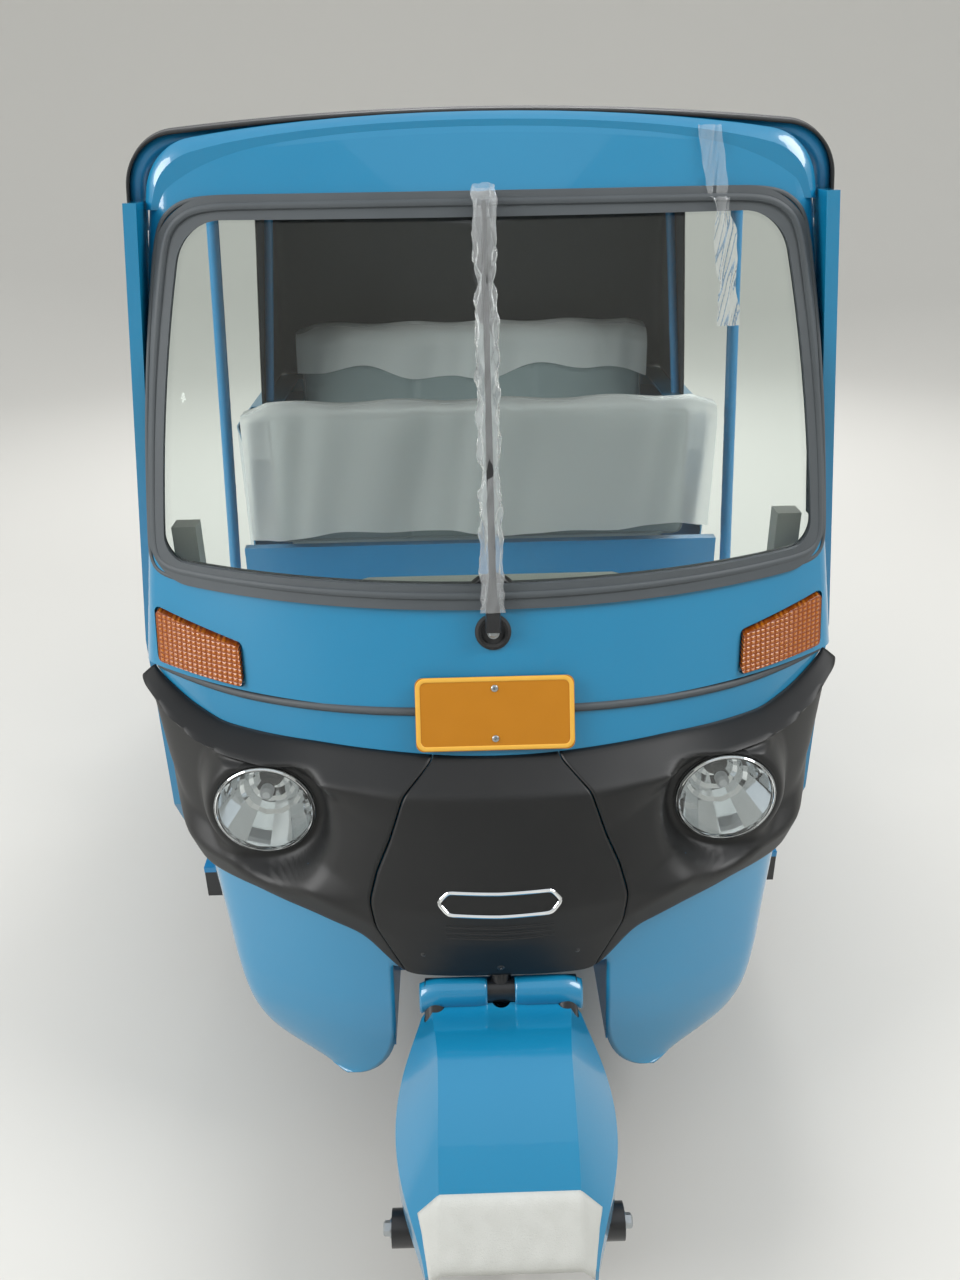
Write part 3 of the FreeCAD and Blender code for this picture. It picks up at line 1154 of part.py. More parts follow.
doc.recompute()
for feature in doc.Objects:
    if {"Invalid", "Error"} & set(feature.State):
        raise RuntimeError(f"{feature.Name} failed: {feature.State}")
os.makedirs("parts", exist_ok=True)
for name, feature in nodes.items():
    shape = feature.Shape
    if shape.isNull() or not shape.isValid():
        raise RuntimeError(f"{name} has no valid shape")
    box = shape.BoundBox
    print(name, len(shape.Solids), round(shape.Volume / 1000), [round(x) for x in (
        box.XMin, box.XMax, box.YMin, box.YMax, box.ZMin, box.ZMax)])
    shape.exportStep(f"parts/{name}.step")
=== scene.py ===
import math

import bmesh
import bpy
import numpy as np
from mathutils import Matrix, Vector
from mathutils.bvhtree import BVHTree


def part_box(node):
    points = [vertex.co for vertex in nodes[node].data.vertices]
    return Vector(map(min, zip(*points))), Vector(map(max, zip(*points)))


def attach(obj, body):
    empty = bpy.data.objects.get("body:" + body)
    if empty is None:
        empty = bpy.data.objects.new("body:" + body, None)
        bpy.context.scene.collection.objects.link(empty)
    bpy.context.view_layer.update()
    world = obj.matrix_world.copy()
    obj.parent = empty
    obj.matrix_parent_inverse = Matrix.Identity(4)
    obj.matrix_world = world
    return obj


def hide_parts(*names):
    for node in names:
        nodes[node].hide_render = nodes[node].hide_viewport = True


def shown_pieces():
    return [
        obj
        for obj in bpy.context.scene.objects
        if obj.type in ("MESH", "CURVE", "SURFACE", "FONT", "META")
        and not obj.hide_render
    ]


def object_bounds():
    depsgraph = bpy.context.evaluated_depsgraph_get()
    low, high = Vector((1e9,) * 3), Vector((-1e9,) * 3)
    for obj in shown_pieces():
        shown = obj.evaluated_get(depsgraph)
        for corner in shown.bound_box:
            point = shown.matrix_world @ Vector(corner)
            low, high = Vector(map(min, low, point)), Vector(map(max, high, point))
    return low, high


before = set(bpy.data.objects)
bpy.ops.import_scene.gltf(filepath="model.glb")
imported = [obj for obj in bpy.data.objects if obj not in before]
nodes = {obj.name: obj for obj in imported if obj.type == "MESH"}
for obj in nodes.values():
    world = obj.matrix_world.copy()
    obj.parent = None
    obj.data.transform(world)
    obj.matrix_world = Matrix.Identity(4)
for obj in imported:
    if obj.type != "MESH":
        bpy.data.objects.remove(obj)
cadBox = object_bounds()
scene = bpy.context.scene
print("frame loaded:", len(nodes), "CAD nodes")


def linear(hexText):
    # sRGB channel to linear: divided by 12.92 near black, else ((c + 0.055) / 1.055) to the power 2.4
    channels = np.array([int(hexText[i:i + 2], 16) for i in (1, 3, 5)]) / 255
    curved = ((channels + 0.055) / 1.055) ** 2.4
    return (*np.where(channels <= 0.04045, channels / 12.92, curved), 1.0)


def joined(*parts):
    # arrays of one coordinate each, spread to one shape and put together as places
    return np.stack(np.broadcast_arrays(*parts), -1)


def clamp(values):
    return np.clip(values, 0, 1)


def fullTurn(count):
    return np.linspace(0, 2 * math.pi, count, endpoint=False)


def addNode(tree, kind, inputs, **settings):
    # a shader node with its settings; each input is a constant or another node's output
    node = tree.nodes.new("ShaderNode" + kind)
    for name, value in settings.items():
        setattr(node, name, value)
    for name, value in inputs.items():
        if isinstance(value, bpy.types.NodeSocket):
            tree.links.new(value, node.inputs[name])
        else:
            node.inputs[name].default_value = value
    return node


def startMaterial(name, shader):
    # a Principled surface with its constants, and the object's own coordinates in metres for its patterns
    made = bpy.data.materials.new(name)
    made.use_nodes = True
    tree = made.node_tree
    tree.nodes.clear()
    surface = addNode(tree, "BsdfPrincipled", shader)
    addNode(tree, "OutputMaterial", {"Surface": surface.outputs[0]})
    place = addNode(tree, "TexCoord", {}).outputs["Object"]
    return made, tree, surface, place


def tint(tree, surface, factor, first, second):
    mixed = addNode(tree, "MixRGB", {"Fac": factor, "Color1": linear(first), "Color2": linear(second)})
    tree.links.new(mixed.outputs[0], surface.inputs["Base Color"])
    return mixed


def vary(tree, surface, factor, socket, low, high):
    spread = addNode(tree, "MapRange", {"Value": factor, "To Min": low, "To Max": high})
    tree.links.new(spread.outputs[0], surface.inputs[socket])


def relief(tree, surface, height, depth):
    # depth is the real height of the pattern in metres
    bump = addNode(tree, "Bump", {"Height": height, "Distance": depth, "Strength": 1.0})
    tree.links.new(bump.outputs[0], surface.inputs["Normal"])
    return bump


def stovedEnamel(name, settings):
    # stoved enamel on pressed steel: a clear gloss with a faint orange peel, and a little road dust
    made, tree, surface, place = startMaterial(name, {
        "Roughness": 0.32, "IOR": 1.5, "Coat Weight": settings["coat"],
        "Coat Roughness": settings["coatRoughness"], "Coat IOR": 1.5})
    drift = addNode(tree, "TexNoise", {"Vector": place, "Scale": 1 / settings["driftSize"], "Detail": 3.0})
    tint(tree, surface, drift.outputs[0], settings["shade"], settings["light"])
    peel = addNode(tree, "TexNoise", {"Vector": place, "Scale": 1 / settings["peelSize"], "Detail": 1.0})
    relief(tree, surface, peel.outputs[0], settings["peelDepth"])
    vary(tree, surface, drift.outputs[0], "Roughness", 0.24, 0.4)
    return made


bluePaint = stovedEnamel("stoved_blue_enamel", {
    "coat": 1.0, "coatRoughness": 0.04, "driftSize": 0.35, "shade": "#0b79a5", "light": "#1383ae",
    "peelSize": 0.006, "peelDepth": 0.00003})
innerBlue = stovedEnamel("inner_blue_enamel", {
    "coat": 0.5, "coatRoughness": 0.25, "driftSize": 0.2, "shade": "#1a7fb5", "light": "#2187bd",
    "peelSize": 0.004, "peelDepth": 0.00004})
blackPaint = stovedEnamel("black_chassis_enamel", {
    "coat": 0.35, "coatRoughness": 0.3, "driftSize": 0.15, "shade": "#17181a", "light": "#232427",
    "peelSize": 0.003, "peelDepth": 0.00006})


def mouldedPolymer(name, settings):
    # moulded polymer with a spark-eroded grain: dull, with a soft wide highlight
    made, tree, surface, place = startMaterial(name, {"IOR": settings["ior"]})
    grain = addNode(tree, "TexNoise", {"Vector": place, "Scale": 1 / settings["grainSize"], "Detail": 2.0})
    patches = addNode(tree, "TexNoise", {"Vector": place, "Scale": 1 / settings["patchSize"], "Detail": 4.0})
    tint(tree, surface, patches.outputs[0], settings["shade"], settings["light"])
    vary(tree, surface, patches.outputs[0], "Roughness", *settings["roughness"])
    relief(tree, surface, grain.outputs[0], settings["grainDepth"])
    return made


cowlPlastic = mouldedPolymer("moulded_black_polypropylene", {
    "ior": 1.49, "grainSize": 0.0016, "grainDepth": 0.00012, "patchSize": 0.15,
    "shade": "#0e0f10", "light": "#151617", "roughness": (0.42, 0.52)})
dashPlastic = mouldedPolymer("moulded_grey_polypropylene", {
    "ior": 1.49, "grainSize": 0.0018, "grainDepth": 0.00015, "patchSize": 0.12,
    "shade": "#c3c4bd", "light": "#d2d2ca", "roughness": (0.5, 0.6)})
screenRubber = mouldedPolymer("extruded_epdm_rubber", {
    "ior": 1.5, "grainSize": 0.0012, "grainDepth": 0.00006, "patchSize": 0.09,
    "shade": "#43484c", "light": "#50565a", "roughness": (0.5, 0.66)})
gripRubber = mouldedPolymer("moulded_grip_rubber", {
    "ior": 1.5, "grainSize": 0.001, "grainDepth": 0.0001, "patchSize": 0.03,
    "shade": "#191a1b", "light": "#222324", "roughness": (0.6, 0.75)})
tyreRubber = mouldedPolymer("vulcanised_tyre_rubber", {
    "ior": 1.5, "grainSize": 0.0015, "grainDepth": 0.0001, "patchSize": 0.04,
    "shade": "#1d1d1d", "light": "#2a2a29", "roughness": (0.7, 0.85)})
floorRubber = mouldedPolymer("ribbed_floor_rubber", {
    "ior": 1.5, "grainSize": 0.002, "grainDepth": 0.0002, "patchSize": 0.2,
    "shade": "#2a2b2c", "light": "#383938", "roughness": (0.65, 0.8)})


def clearSheet(name, settings):
    # clear glass or polymer, even in thickness
    made, tree, surface, place = startMaterial(name, {
        "Base Color": linear(settings["colour"]), "Roughness": settings["roughness"], "IOR": settings["ior"],
        "Transmission Weight": settings["clearness"]})
    smear = addNode(tree, "TexNoise", {"Vector": place, "Scale": 1 / settings["smearSize"], "Detail": 4.0})
    vary(tree, surface, smear.outputs[0], "Roughness", settings["roughness"], settings["smearRoughness"])
    return made


screenGlass = clearSheet("tempered_screen_glass", {
    "colour": "#eef6f2", "roughness": 0.0, "smearRoughness": 0.02, "ior": 1.5, "clearness": 1.0,
    "smearSize": 0.3})
lampLens = clearSheet("clear_polycarbonate_lens", {
    "colour": "#f7fafa", "roughness": 0.02, "smearRoughness": 0.05, "ior": 1.45, "clearness": 1.0,
    "smearSize": 0.05})
amberLens = clearSheet("amber_acrylic_lens", {
    "colour": "#b65a17", "roughness": 0.08, "smearRoughness": 0.14, "ior": 1.49, "clearness": 0.35,
    "smearSize": 0.05})


def addPrismsWithPaintedShade(lens, settings):
    # a lattice of small prisms in a lens, in relief and as painted shade and highlight on each prism; a wave
    # texture repeats every 2 pi / 20 of its scaled coordinate
    tree = lens.node_tree
    surface = tree.nodes["Principled BSDF"]
    place = tree.nodes["Texture Coordinate"].outputs["Object"]
    across, up = (
        addNode(tree, "TexWave", {"Vector": place, "Scale": 2 * math.pi / 20 / pitch}, bands_direction=way)
        for way, pitch in zip("XZ", settings["pitches"]))
    lattice = addNode(tree, "Math", {0: across.outputs["Fac"], 1: up.outputs["Fac"]}, operation="MINIMUM")
    # painted shade and highlight: the lens colour runs from the shade colour to the light colour across each prism
    tint(tree, surface, lattice.outputs[0], settings["shade"], settings["light"])
    relief(tree, surface, lattice.outputs[0], settings["depth"])


# amber prisms, with colours for their painted shade and highlight
addPrismsWithPaintedShade(amberLens, {"pitches": (0.009, 0.007), "depth": 0.0012, "shade": "#a04c10", "light": "#e08420"})
redLens = clearSheet("red_acrylic_lens", {
    "colour": "#c4161a", "roughness": 0.08, "smearRoughness": 0.14, "ior": 1.49, "clearness": 0.45,
    "smearSize": 0.05})


def coatedMetal(name, settings):
    made, tree, surface, place = startMaterial(name, {"Metallic": settings["metallic"]})
    patches = addNode(tree, "TexNoise", {"Vector": place, "Scale": 1 / settings["patchSize"], "Detail": 5.0})
    grain = addNode(tree, "TexNoise", {"Vector": place, "Scale": 1 / settings["grainSize"], "Detail": 2.0})
    tint(tree, surface, patches.outputs[0], settings["shade"], settings["light"])
    vary(tree, surface, patches.outputs[0], "Roughness", *settings["roughness"])
    relief(tree, surface, grain.outputs[0], settings["grainDepth"])
    return made


lampChrome = coatedMetal("vacuum_metallised_reflector", {
    "metallic": 1.0, "patchSize": 0.08, "grainSize": 0.01, "grainDepth": 0.00002,
    "shade": "#dfe3e6", "light": "#f2f4f5", "roughness": (0.03, 0.08)})
barSteel = coatedMetal("bright_zinc_plated_steel", {
    "metallic": 1.0, "patchSize": 0.02, "grainSize": 0.002, "grainDepth": 0.00003,
    "shade": "#9aa0a4", "light": "#c3c8cb", "roughness": (0.22, 0.4)})
castAlloy = coatedMetal("sand_cast_aluminium", {
    "metallic": 1.0, "patchSize": 0.06, "grainSize": 0.0025, "grainDepth": 0.0003,
    "shade": "#8b8e90", "light": "#b1b4b5", "roughness": (0.45, 0.62)})
rimPaint = coatedMetal("silver_painted_wheel_steel", {
    "metallic": 0.75, "patchSize": 0.05, "grainSize": 0.002, "grainDepth": 0.00005,
    "shade": "#a9adb0", "light": "#c5c8ca", "roughness": (0.3, 0.42)})
platePaint = coatedMetal("reflective_yellow_plate_sheet", {
    "metallic": 0.0, "patchSize": 0.05, "grainSize": 0.0012, "grainDepth": 0.00003,
    "shade": "#b4730b", "light": "#bd7a0e", "roughness": (0.3, 0.42)})
# the raised rim is a lighter yellow than the plate: a painted highlight along the bead
plateRimHighlight = coatedMetal("plate_rim_painted_highlight", {
    "metallic": 0.0, "patchSize": 0.02, "grainSize": 0.001, "grainDepth": 0.00003,
    "shade": "#e0a83c", "light": "#e8b54e", "roughness": (0.35, 0.5)})


def coatedCloth(name, settings):
    # woven backing under a soft vinyl coat: thread relief at a real pitch, and a soft sheen
    made, tree, surface, place = startMaterial(name, {
        "IOR": 1.48, "Sheen Weight": settings["sheen"], "Sheen Roughness": 0.5})
    cells = addNode(tree, "TexVoronoi", {"Vector": place, "Scale": 1 / settings["cellSize"]},
                    feature="DISTANCE_TO_EDGE")
    patches = addNode(tree, "TexNoise", {"Vector": place, "Scale": 1 / settings["patchSize"], "Detail": 4.0})
    tint(tree, surface, patches.outputs[0], settings["shade"], settings["light"])
    vary(tree, surface, patches.outputs[0], "Roughness", *settings["roughness"])
    relief(tree, surface, cells.outputs[0], settings["cellDepth"])
    return made


seatVinyl = coatedCloth("embossed_seat_vinyl", {
    "sheen": 0.1, "cellSize": 0.003, "cellDepth": 0.0004, "patchSize": 0.15,
    "shade": "#6f7d80", "light": "#7d8b8d", "roughness": (0.45, 0.6)})
canopyVinyl = coatedCloth("coated_canopy_cloth", {
    "sheen": 0.15, "cellSize": 0.0025, "cellDepth": 0.0003, "patchSize": 0.2,
    "shade": "#1b1c1e", "light": "#27282a", "roughness": (0.5, 0.68)})
whiteFoam = coatedCloth("expanded_polyethylene_foam", {
    "sheen": 0.0, "cellSize": 0.003, "cellDepth": 0.0005, "patchSize": 0.03,
    "shade": "#bfc0bb", "light": "#cbccc8", "roughness": (0.6, 0.75)})
clearFilm = clearSheet("crinkled_clear_film", {
    "colour": "#f4f7f8", "roughness": 0.12, "smearRoughness": 0.3, "ior": 1.12, "clearness": 0.82,
    "smearSize": 0.03})
milkFilm = clearSheet("milky_polyethylene_film", {
    "colour": "#f2f4f4", "roughness": 0.35, "smearRoughness": 0.5, "ior": 1.15, "clearness": 0.55,
    "smearSize": 0.06})
seatPiping = coatedCloth("seat_piping_vinyl", {
    "sheen": 0.1, "cellSize": 0.002, "cellDepth": 0.0001, "patchSize": 0.1,
    "shade": "#59666a", "light": "#66747a", "roughness": (0.4, 0.5)})

finishOf = {
    bluePaint: ["front_upper_shell", "front_lower_shell", "side_frame_left", "side_frame_right",
                "rear_quarter_left", "rear_quarter_right", "tail_panel", "engine_door", "front_mudguard"],
    innerBlue: ["wheel_housing", "partition", "driver_seat_base", "seat_deck", "hood_frame", "floor"],
    blackPaint: ["head_tube", "chassis", "fork", "rear_arms", "rear_bumper", "steering_column", "handlebar",
                 "wiper", "silencer"],
    cowlPlastic: ["cowl_centre", "cowl_wing_left", "cowl_wing_right"],
    dashPlastic: ["dashboard"],
    screenRubber: ["windscreen_rubber"],
    gripRubber: ["grips"],
    tyreRubber: ["tyre_front", "tyre_rear_left", "tyre_rear_right"],
    screenGlass: ["windscreen_glass"],
    lampLens: ["headlamp_lenses"],
    amberLens: ["indicators"],
    redLens: ["tail_lamps"],
    lampChrome: ["headlamp_bowls"],
    barSteel: ["rear_dampers", "drive_shafts"],
    castAlloy: ["engine"],
    rimPaint: ["rim_front", "rim_rear_left", "rim_rear_right"],
    platePaint: ["front_plate"],
    seatVinyl: ["driver_cushion", "driver_backrest", "bench_cushion", "bench_backrest"],
    canopyVinyl: ["canopy"],
    whiteFoam: ["foam_strip"],
}


def wear(piece, material):
    piece.data.materials.clear()
    piece.data.materials.append(material)


for material, names in finishOf.items():
    for name in names:
        wear(nodes[name], material)
bare = sorted(set(nodes) - {name for names in finishOf.values() for name in names})
print("finishes on CAD nodes, none on:", bare)


def gridFaces(rows, columns, aroundRows=False, aroundColumns=False):
    # quads between neighbours of a grid of points
    row, column = np.meshgrid(
        np.arange(rows - (not aroundRows)), np.arange(columns - (not aroundColumns)), indexing="ij")
    nextRow, nextColumn = (row + 1) % rows, (column + 1) % columns
    return joined(row * columns + column, row * columns + nextColumn,
                  nextRow * columns + nextColumn, nextRow * columns + column).reshape(-1, 4)


def addPiece(name, points, faces, body, finish, slot, closed=True, crease=35):
    # a mesh object at the origin that rides on a body; closed ones get their faces turned outwards
    mesh = bpy.data.meshes.new(name)
    mesh.from_pydata(np.asarray(points).reshape(-1, 3).tolist(), [], [list(map(int, face)) for face in faces])
    work = bmesh.new()
    work.from_mesh(mesh)
    bmesh.ops.remove_doubles(work, verts=work.verts, dist=1e-6)
    if closed:
        bmesh.ops.recalc_face_normals(work, faces=work.faces)
    work.to_mesh(mesh)
    work.free()
    mesh.shade_smooth()
    mesh.set_sharp_from_angle(angle=math.radians(crease))
    piece = bpy.data.objects.new(name, mesh)
    scene.collection.objects.link(piece)
    mesh.materials.append(finish)
    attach(piece, body)
    return piece


def thicken(piece, thickness, offset):
    wall = piece.modifiers.new("wall", "SOLIDIFY")
    wall.thickness, wall.offset = thickness, offset


def turnForwards(piece):
    # drops points that no face uses, and turns an open sheet's faces to the front
    work = bmesh.new()
    work.from_mesh(piece.data)
    bmesh.ops.delete(work, geom=[v for v in work.verts if not v.link_faces], context="VERTS")
    if sum(face.normal.y * face.calc_area() for face in work.faces) > 0:
        bmesh.ops.reverse_faces(work, faces=work.faces[:])
    work.to_mesh(piece.data)
    work.free()


def unit(vectors):
    return vectors / np.maximum(np.linalg.norm(vectors, axis=-1, keepdims=True), 1e-12)


def gridNormals(points):
    # normal of each point of a grid: its row direction crossed with its column direction
    return unit(np.cross(np.gradient(points, axis=0), np.gradient(points, axis=1)))


def carried(profile, path, outward, around=False):
    # a closed profile of (side, out) pairs carried along a path; returns its points and faces
    path, profile = np.asarray(path, float), np.asarray(profile, float)
    ahead = np.roll(path, -1, 0) - np.roll(path, 1, 0) if around else np.gradient(path, axis=0)
    side = unit(np.cross(unit(ahead), outward))
    out = unit(np.cross(side, ahead))
    points = path[:, None] + profile[:, 0, None] * side[:, None] + profile[:, 1, None] * out[:, None]
    faces = [list(face) for face in gridFaces(len(path), len(profile), around, True)]
    if not around:
        count = len(profile)
        faces += [list(range(count)), list(range((len(path) - 1) * count, len(path) * count))]
    return points.reshape(-1, 3), faces


def ringProfile(radius, count=10, flat=1.0):
    turn = fullTurn(count)
    return joined(radius * np.cos(turn), radius * flat * np.sin(turn))


def turned(profile, middle, axis, count=32):
    # a profile of (along the axis, radius) pairs turned about an axis; its ends close on the axis
    axis = unit(np.asarray(axis, float))
    first = unit(np.cross(axis, (0.31, 0.52, 0.79)))
    second = np.cross(axis, first)
    turn = fullTurn(count)
    spokes = np.cos(turn)[:, None] * first + np.sin(turn)[:, None] * second
    profile = np.asarray(profile, float)
    points = np.asarray(middle) + profile[:, 0, None, None] * axis + profile[:, 1, None, None] * spokes
    faces = [list(face) for face in gridFaces(len(profile), count, False, True)]
    return points.reshape(-1, 3), faces


def gathered(parts):
    # several (points, faces) pairs as one
    allPoints, allFaces, start = [], [], 0
    for points, faces in parts:
        points = np.asarray(points).reshape(-1, 3)
        allPoints.append(points)
        allFaces += [[index + start for index in face] for face in faces]
        start += len(points)
    return np.concatenate(allPoints), allFaces


def bolt(middle, axis, across):
    # a hexagon head with a chamfered top on a washer, its underside at the given place
    axis = unit(np.asarray(axis, float))
    washer = turned([(0, 0), (0, across * 0.72), (across * 0.12, across * 0.72), (across * 0.14, across * 0.6),
                     (across * 0.14, 0)], middle, axis, 20)
    head = turned([(0, 0), (0, across * 0.577), (across * 0.42, across * 0.577), (across * 0.55, across * 0.44),
                   (across * 0.55, 0)], np.asarray(middle) + axis * across * 0.13, axis, 6)
    return gathered([washer, head])


def screwHead(middle, axis, radius):
    # a shallow domed head with a sunk middle
    return turned([(0, 0), (0, radius), (radius * 0.22, radius * 0.93), (radius * 0.4, radius * 0.62),
                   (radius * 0.44, radius * 0.34), (radius * 0.24, radius * 0.2), (radius * 0.24, 0)],
                  middle, axis, 20)


# The panels' own surfaces, as the source has them, so that trim can follow them
faceShape = {"waist": 0.868, "footY": -0.772, "footZ": 1.015, "middleRake": 21.4, "sideRake": 7.1,
             "bow": 0.19, "waistHalf": 0.584, "shoulderHalf": 0.508, "shoulderZ": 1.577, "widened": 1.25}
noseTable = np.array([  # height, middle, side, half width; the waist's middle and side are filled in below
    (0.868, 0.0, 0.0, 0.584), (0.6, -0.945, -0.69, 0.536), (0.4, -0.985, -0.745, 0.478),
    (0.3, -0.995, -0.785, 0.446), (0.25, -0.965, -0.775, 0.426)])


def faceMiddle(z):
    return faceShape["footY"] + (z - faceShape["footZ"]) * math.tan(math.radians(faceShape["middleRake"]))


def faceSide(z):
    rise = (z - faceShape["footZ"]) * math.tan(math.radians(faceShape["sideRake"]))
    return faceShape["footY"] + faceShape["bow"] + rise


noseTable[0, 1:3] = faceMiddle(faceShape["waist"]), faceSide(faceShape["waist"])


def bowed(x, middle, side, half):
    # a circle through the middle and both sides, seen from above
    bow = side - middle
    radius = (half ** 2 + bow ** 2) / (2 * bow)
    return middle + radius - np.sqrt(radius ** 2 - x ** 2)


def frontY(x, z):
    # the outside of the upper face or of the nose below it
    x, z = np.broadcast_arrays(np.asarray(x, float), np.asarray(z, float))
    share = (z - faceShape["waist"]) / (faceShape["shoulderZ"] - faceShape["waist"])
    wide = faceShape["widened"]
    half = wide * (faceShape["waistHalf"] + share * (faceShape["shoulderHalf"] - faceShape["waistHalf"]))
    upper = bowed(x, faceMiddle(z), faceMiddle(z) + (faceSide(z) - faceMiddle(z)) * wide ** 2, half)
    row = np.clip(np.searchsorted(-noseTable[:, 0], -z) - 1, 0, len(noseTable) - 2)
    high, low = noseTable[row], noseTable[row + 1]
    mix = (z - low[..., 0]) / (high[..., 0] - low[..., 0])
    lower = [bowed(x, line[..., 1], line[..., 2], line[..., 3]) for line in (high, low)]
    return np.where(z >= faceShape["waist"], upper, lower[1] + mix * (lower[0] - lower[1]))


def frontOutward(x, z):
    # the direction that the front faces at a place
    step = 0.004
    slopeX = (frontY(x + step, z) - frontY(x - step, z)) / (2 * step)
    slopeZ = (frontY(x, z + step) - frontY(x, z - step)) / (2 * step)
    return unit(joined(slopeX, -np.ones_like(slopeX), slopeZ))


def onFront(x, z, stand):
    x, z = np.asarray(x, float), np.asarray(z, float)
    return joined(x, frontY(x, z), z) + frontOutward(x, z) * stand


def evenly(line, count=None, step=None):
    # points evenly along a polyline, so many of them or about a step apart
    line = np.asarray(line, float)
    runs = np.concatenate([[0], np.cumsum(np.linalg.norm(np.diff(line, axis=0), axis=1))])
    places = np.linspace(0, runs[-1], count or max(int(runs[-1] / step), 2) + 1)
    return joined(*(np.interp(places, runs, column) for column in line.T))


def spaced(corners, step):
    return evenly(corners, step=step)


def softened(line, rounds):
    # evens out an open line's corners and keeps its ends
    line = np.array(line, float)
    for _ in range(rounds):
        line[1:-1] = line[:-2] / 4 + line[1:-1] / 2 + line[2:] / 4
    return line


def softenedRing(line, rounds):
    line = np.array(line, float)
    for _ in range(rounds):
        line = np.roll(line, 1, 0) / 4 + line / 2 + np.roll(line, -1, 0) / 4
    return line


def laidOnFront(profile, line, stand, around=False):
    # a profile carried along a line of (x, z) places on the front
    x, z = line.T
    return carried(profile, onFront(x, z, stand), frontOutward(x, z), around)


# Front trim: moulding over the waist joint, windscreen rubber's locking strip, plate, wiper
moulding = {"half": 0.0065, "proud": 0.006, "line": [
    (-0.56, 0.8585), (-0.411, 0.8565), (-0.245, 0.862), (0, 0.871), (0.245, 0.862), (0.411, 0.8565),
    (0.56, 0.8585)]}
line = softened(spaced(moulding["line"], 0.008), 30)
halfRound = [(moulding["half"] * math.cos(turn), max(moulding["proud"] * math.sin(turn), -0.003))
             for turn in fullTurn(16)]
addPiece("waist_moulding", *laidOnFront(halfRound, line, 0.001), "body", screenRubber, "screen_rubber")

screenLine = {"halfTop": 0.484, "halfFoot": 0.56, "bow": 0.013, "top": 1.585, "foot": 1.015, "topCorner": 0.112}


def screenRing(inset, step=0.008):
    # the rubber's outline taken in by inset, as (x, z) points round the screen
    top, foot = screenLine["top"] - inset, screenLine["foot"] + inset
    halfTop, halfFoot = screenLine["halfTop"] - inset, screenLine["halfFoot"] - inset
    share = np.linspace(0, 1, 80)
    sideX = halfFoot + share * (halfTop - halfFoot) + screenLine["bow"] * np.sin(math.pi * share)
    side = joined(sideX, foot + share * (top - foot))
    ring = np.concatenate([side, (side * (-1, 1))[::-1], side[:1]])
    ring = spaced(ring, 0.004)[:-1]
    nearTop = clamp((ring[:, 1] - (top - screenLine["topCorner"])) / screenLine["topCorner"])
    smooth, rounder = softenedRing(ring, 90), softenedRing(ring, 260)
    ring = smooth * (1 - nearTop[:, None]) + rounder * nearTop[:, None]
    return spaced(np.concatenate([ring, ring[:1]]), step)[:-1]


for name, inset, radius, stand in (
        ("screen_locking_strip", 0.017, 0.0055, 0.0072), ("screen_rubber_lip", 0.0035, 0.0035, 0.003)):
    bead = laidOnFront(ringProfile(radius, 10, 0.7), screenRing(inset), stand, around=True)
    addPiece(name, *bead, "body", screenRubber, "screen_rubber")

plate = {"middle": 0.866, "half": 0.121, "halfHeight": 0.0565, "stand": 0.0095, "rim": 0.0035, "corner": 0.012}
rake = math.radians(faceShape["middleRake"])
plateUp = np.array([0, math.sin(rake), math.cos(rake)])
plateOut = np.array([0, -math.cos(rake), math.sin(rake)])
sideways = np.array([1.0, 0, 0])
plateMiddle = np.array([0, faceMiddle(plate["middle"]), plate["middle"]]) + plateOut * plate["stand"]


def onPlate(across, up):
    return plateMiddle + across[..., None] * sideways + up[..., None] * plateUp


def roundedRectangle(half, halfHeight, corner, perCorner=8):
    turn = np.linspace(0, math.pi / 2, perCorner)
    quarter = joined(np.cos(turn), np.sin(turn)) * corner + (half - corner, halfHeight - corner)
    upper = np.concatenate([quarter, (quarter * (-1, 1))[::-1]])
    return np.concatenate([upper, -upper])


edge = roundedRectangle(plate["half"] - 0.004, plate["halfHeight"] - 0.004, plate["corner"])
rimRing = carried(ringProfile(plate["rim"], 8, 0.45), onPlate(*edge.T), plateOut, around=True)
# the rim wears the lighter yellow of the painted highlight
addPiece("plate_pressed_rim", *rimRing, "body", plateRimHighlight, "plate_yellow")
screws = [screwHead(onPlate(np.array(0.0), np.array(up)), plateOut, 0.0055) for up in (-0.0385, 0.0385)]
addPiece("plate_screws", *gathered(screws), "body", barSteel, "bar_steel")

# Wiper: pivot in a sunk ring, pressed arm with its spring box, blade, and the crinkled transit film round it
wiper = {"foot": 0.981, "armLength": 0.43, "armStand": 0.024, "armDeep": 0.012, "bladeStart": 0.17,
         "bladeLength": 0.46, "bladeStand": 0.0145, "bridgeStand": 0.0185, "filmStart": 0.03, "filmLength": 0.62}
pivot = onFront(0.0, wiper["foot"], 0.0)
ring = turned([(-0.002, 0.0), (0.001, 0.0), (0.001, 0.017), (0.005, 0.019), (0.006, 0.023), (0.004, 0.027),
               (-0.002, 0.028)], pivot, plateOut, 40)
addPiece("wiper_seat", *ring, "body", gripRubber, "screen_rubber")
nut = gathered([bolt(pivot + plateOut * 0.018, plateOut, 0.013),
                turned([(0.0, 0), (0.0, 0.009), (0.02, 0.008), (0.02, 0)], pivot, plateOut, 24)])
addPiece("wiper_pivot", *nut, "body", barSteel, "bar_steel")


def upFace(distance, stand=0.0):
    return pivot + np.asarray(distance)[..., None] * plateUp + plateOut * stand


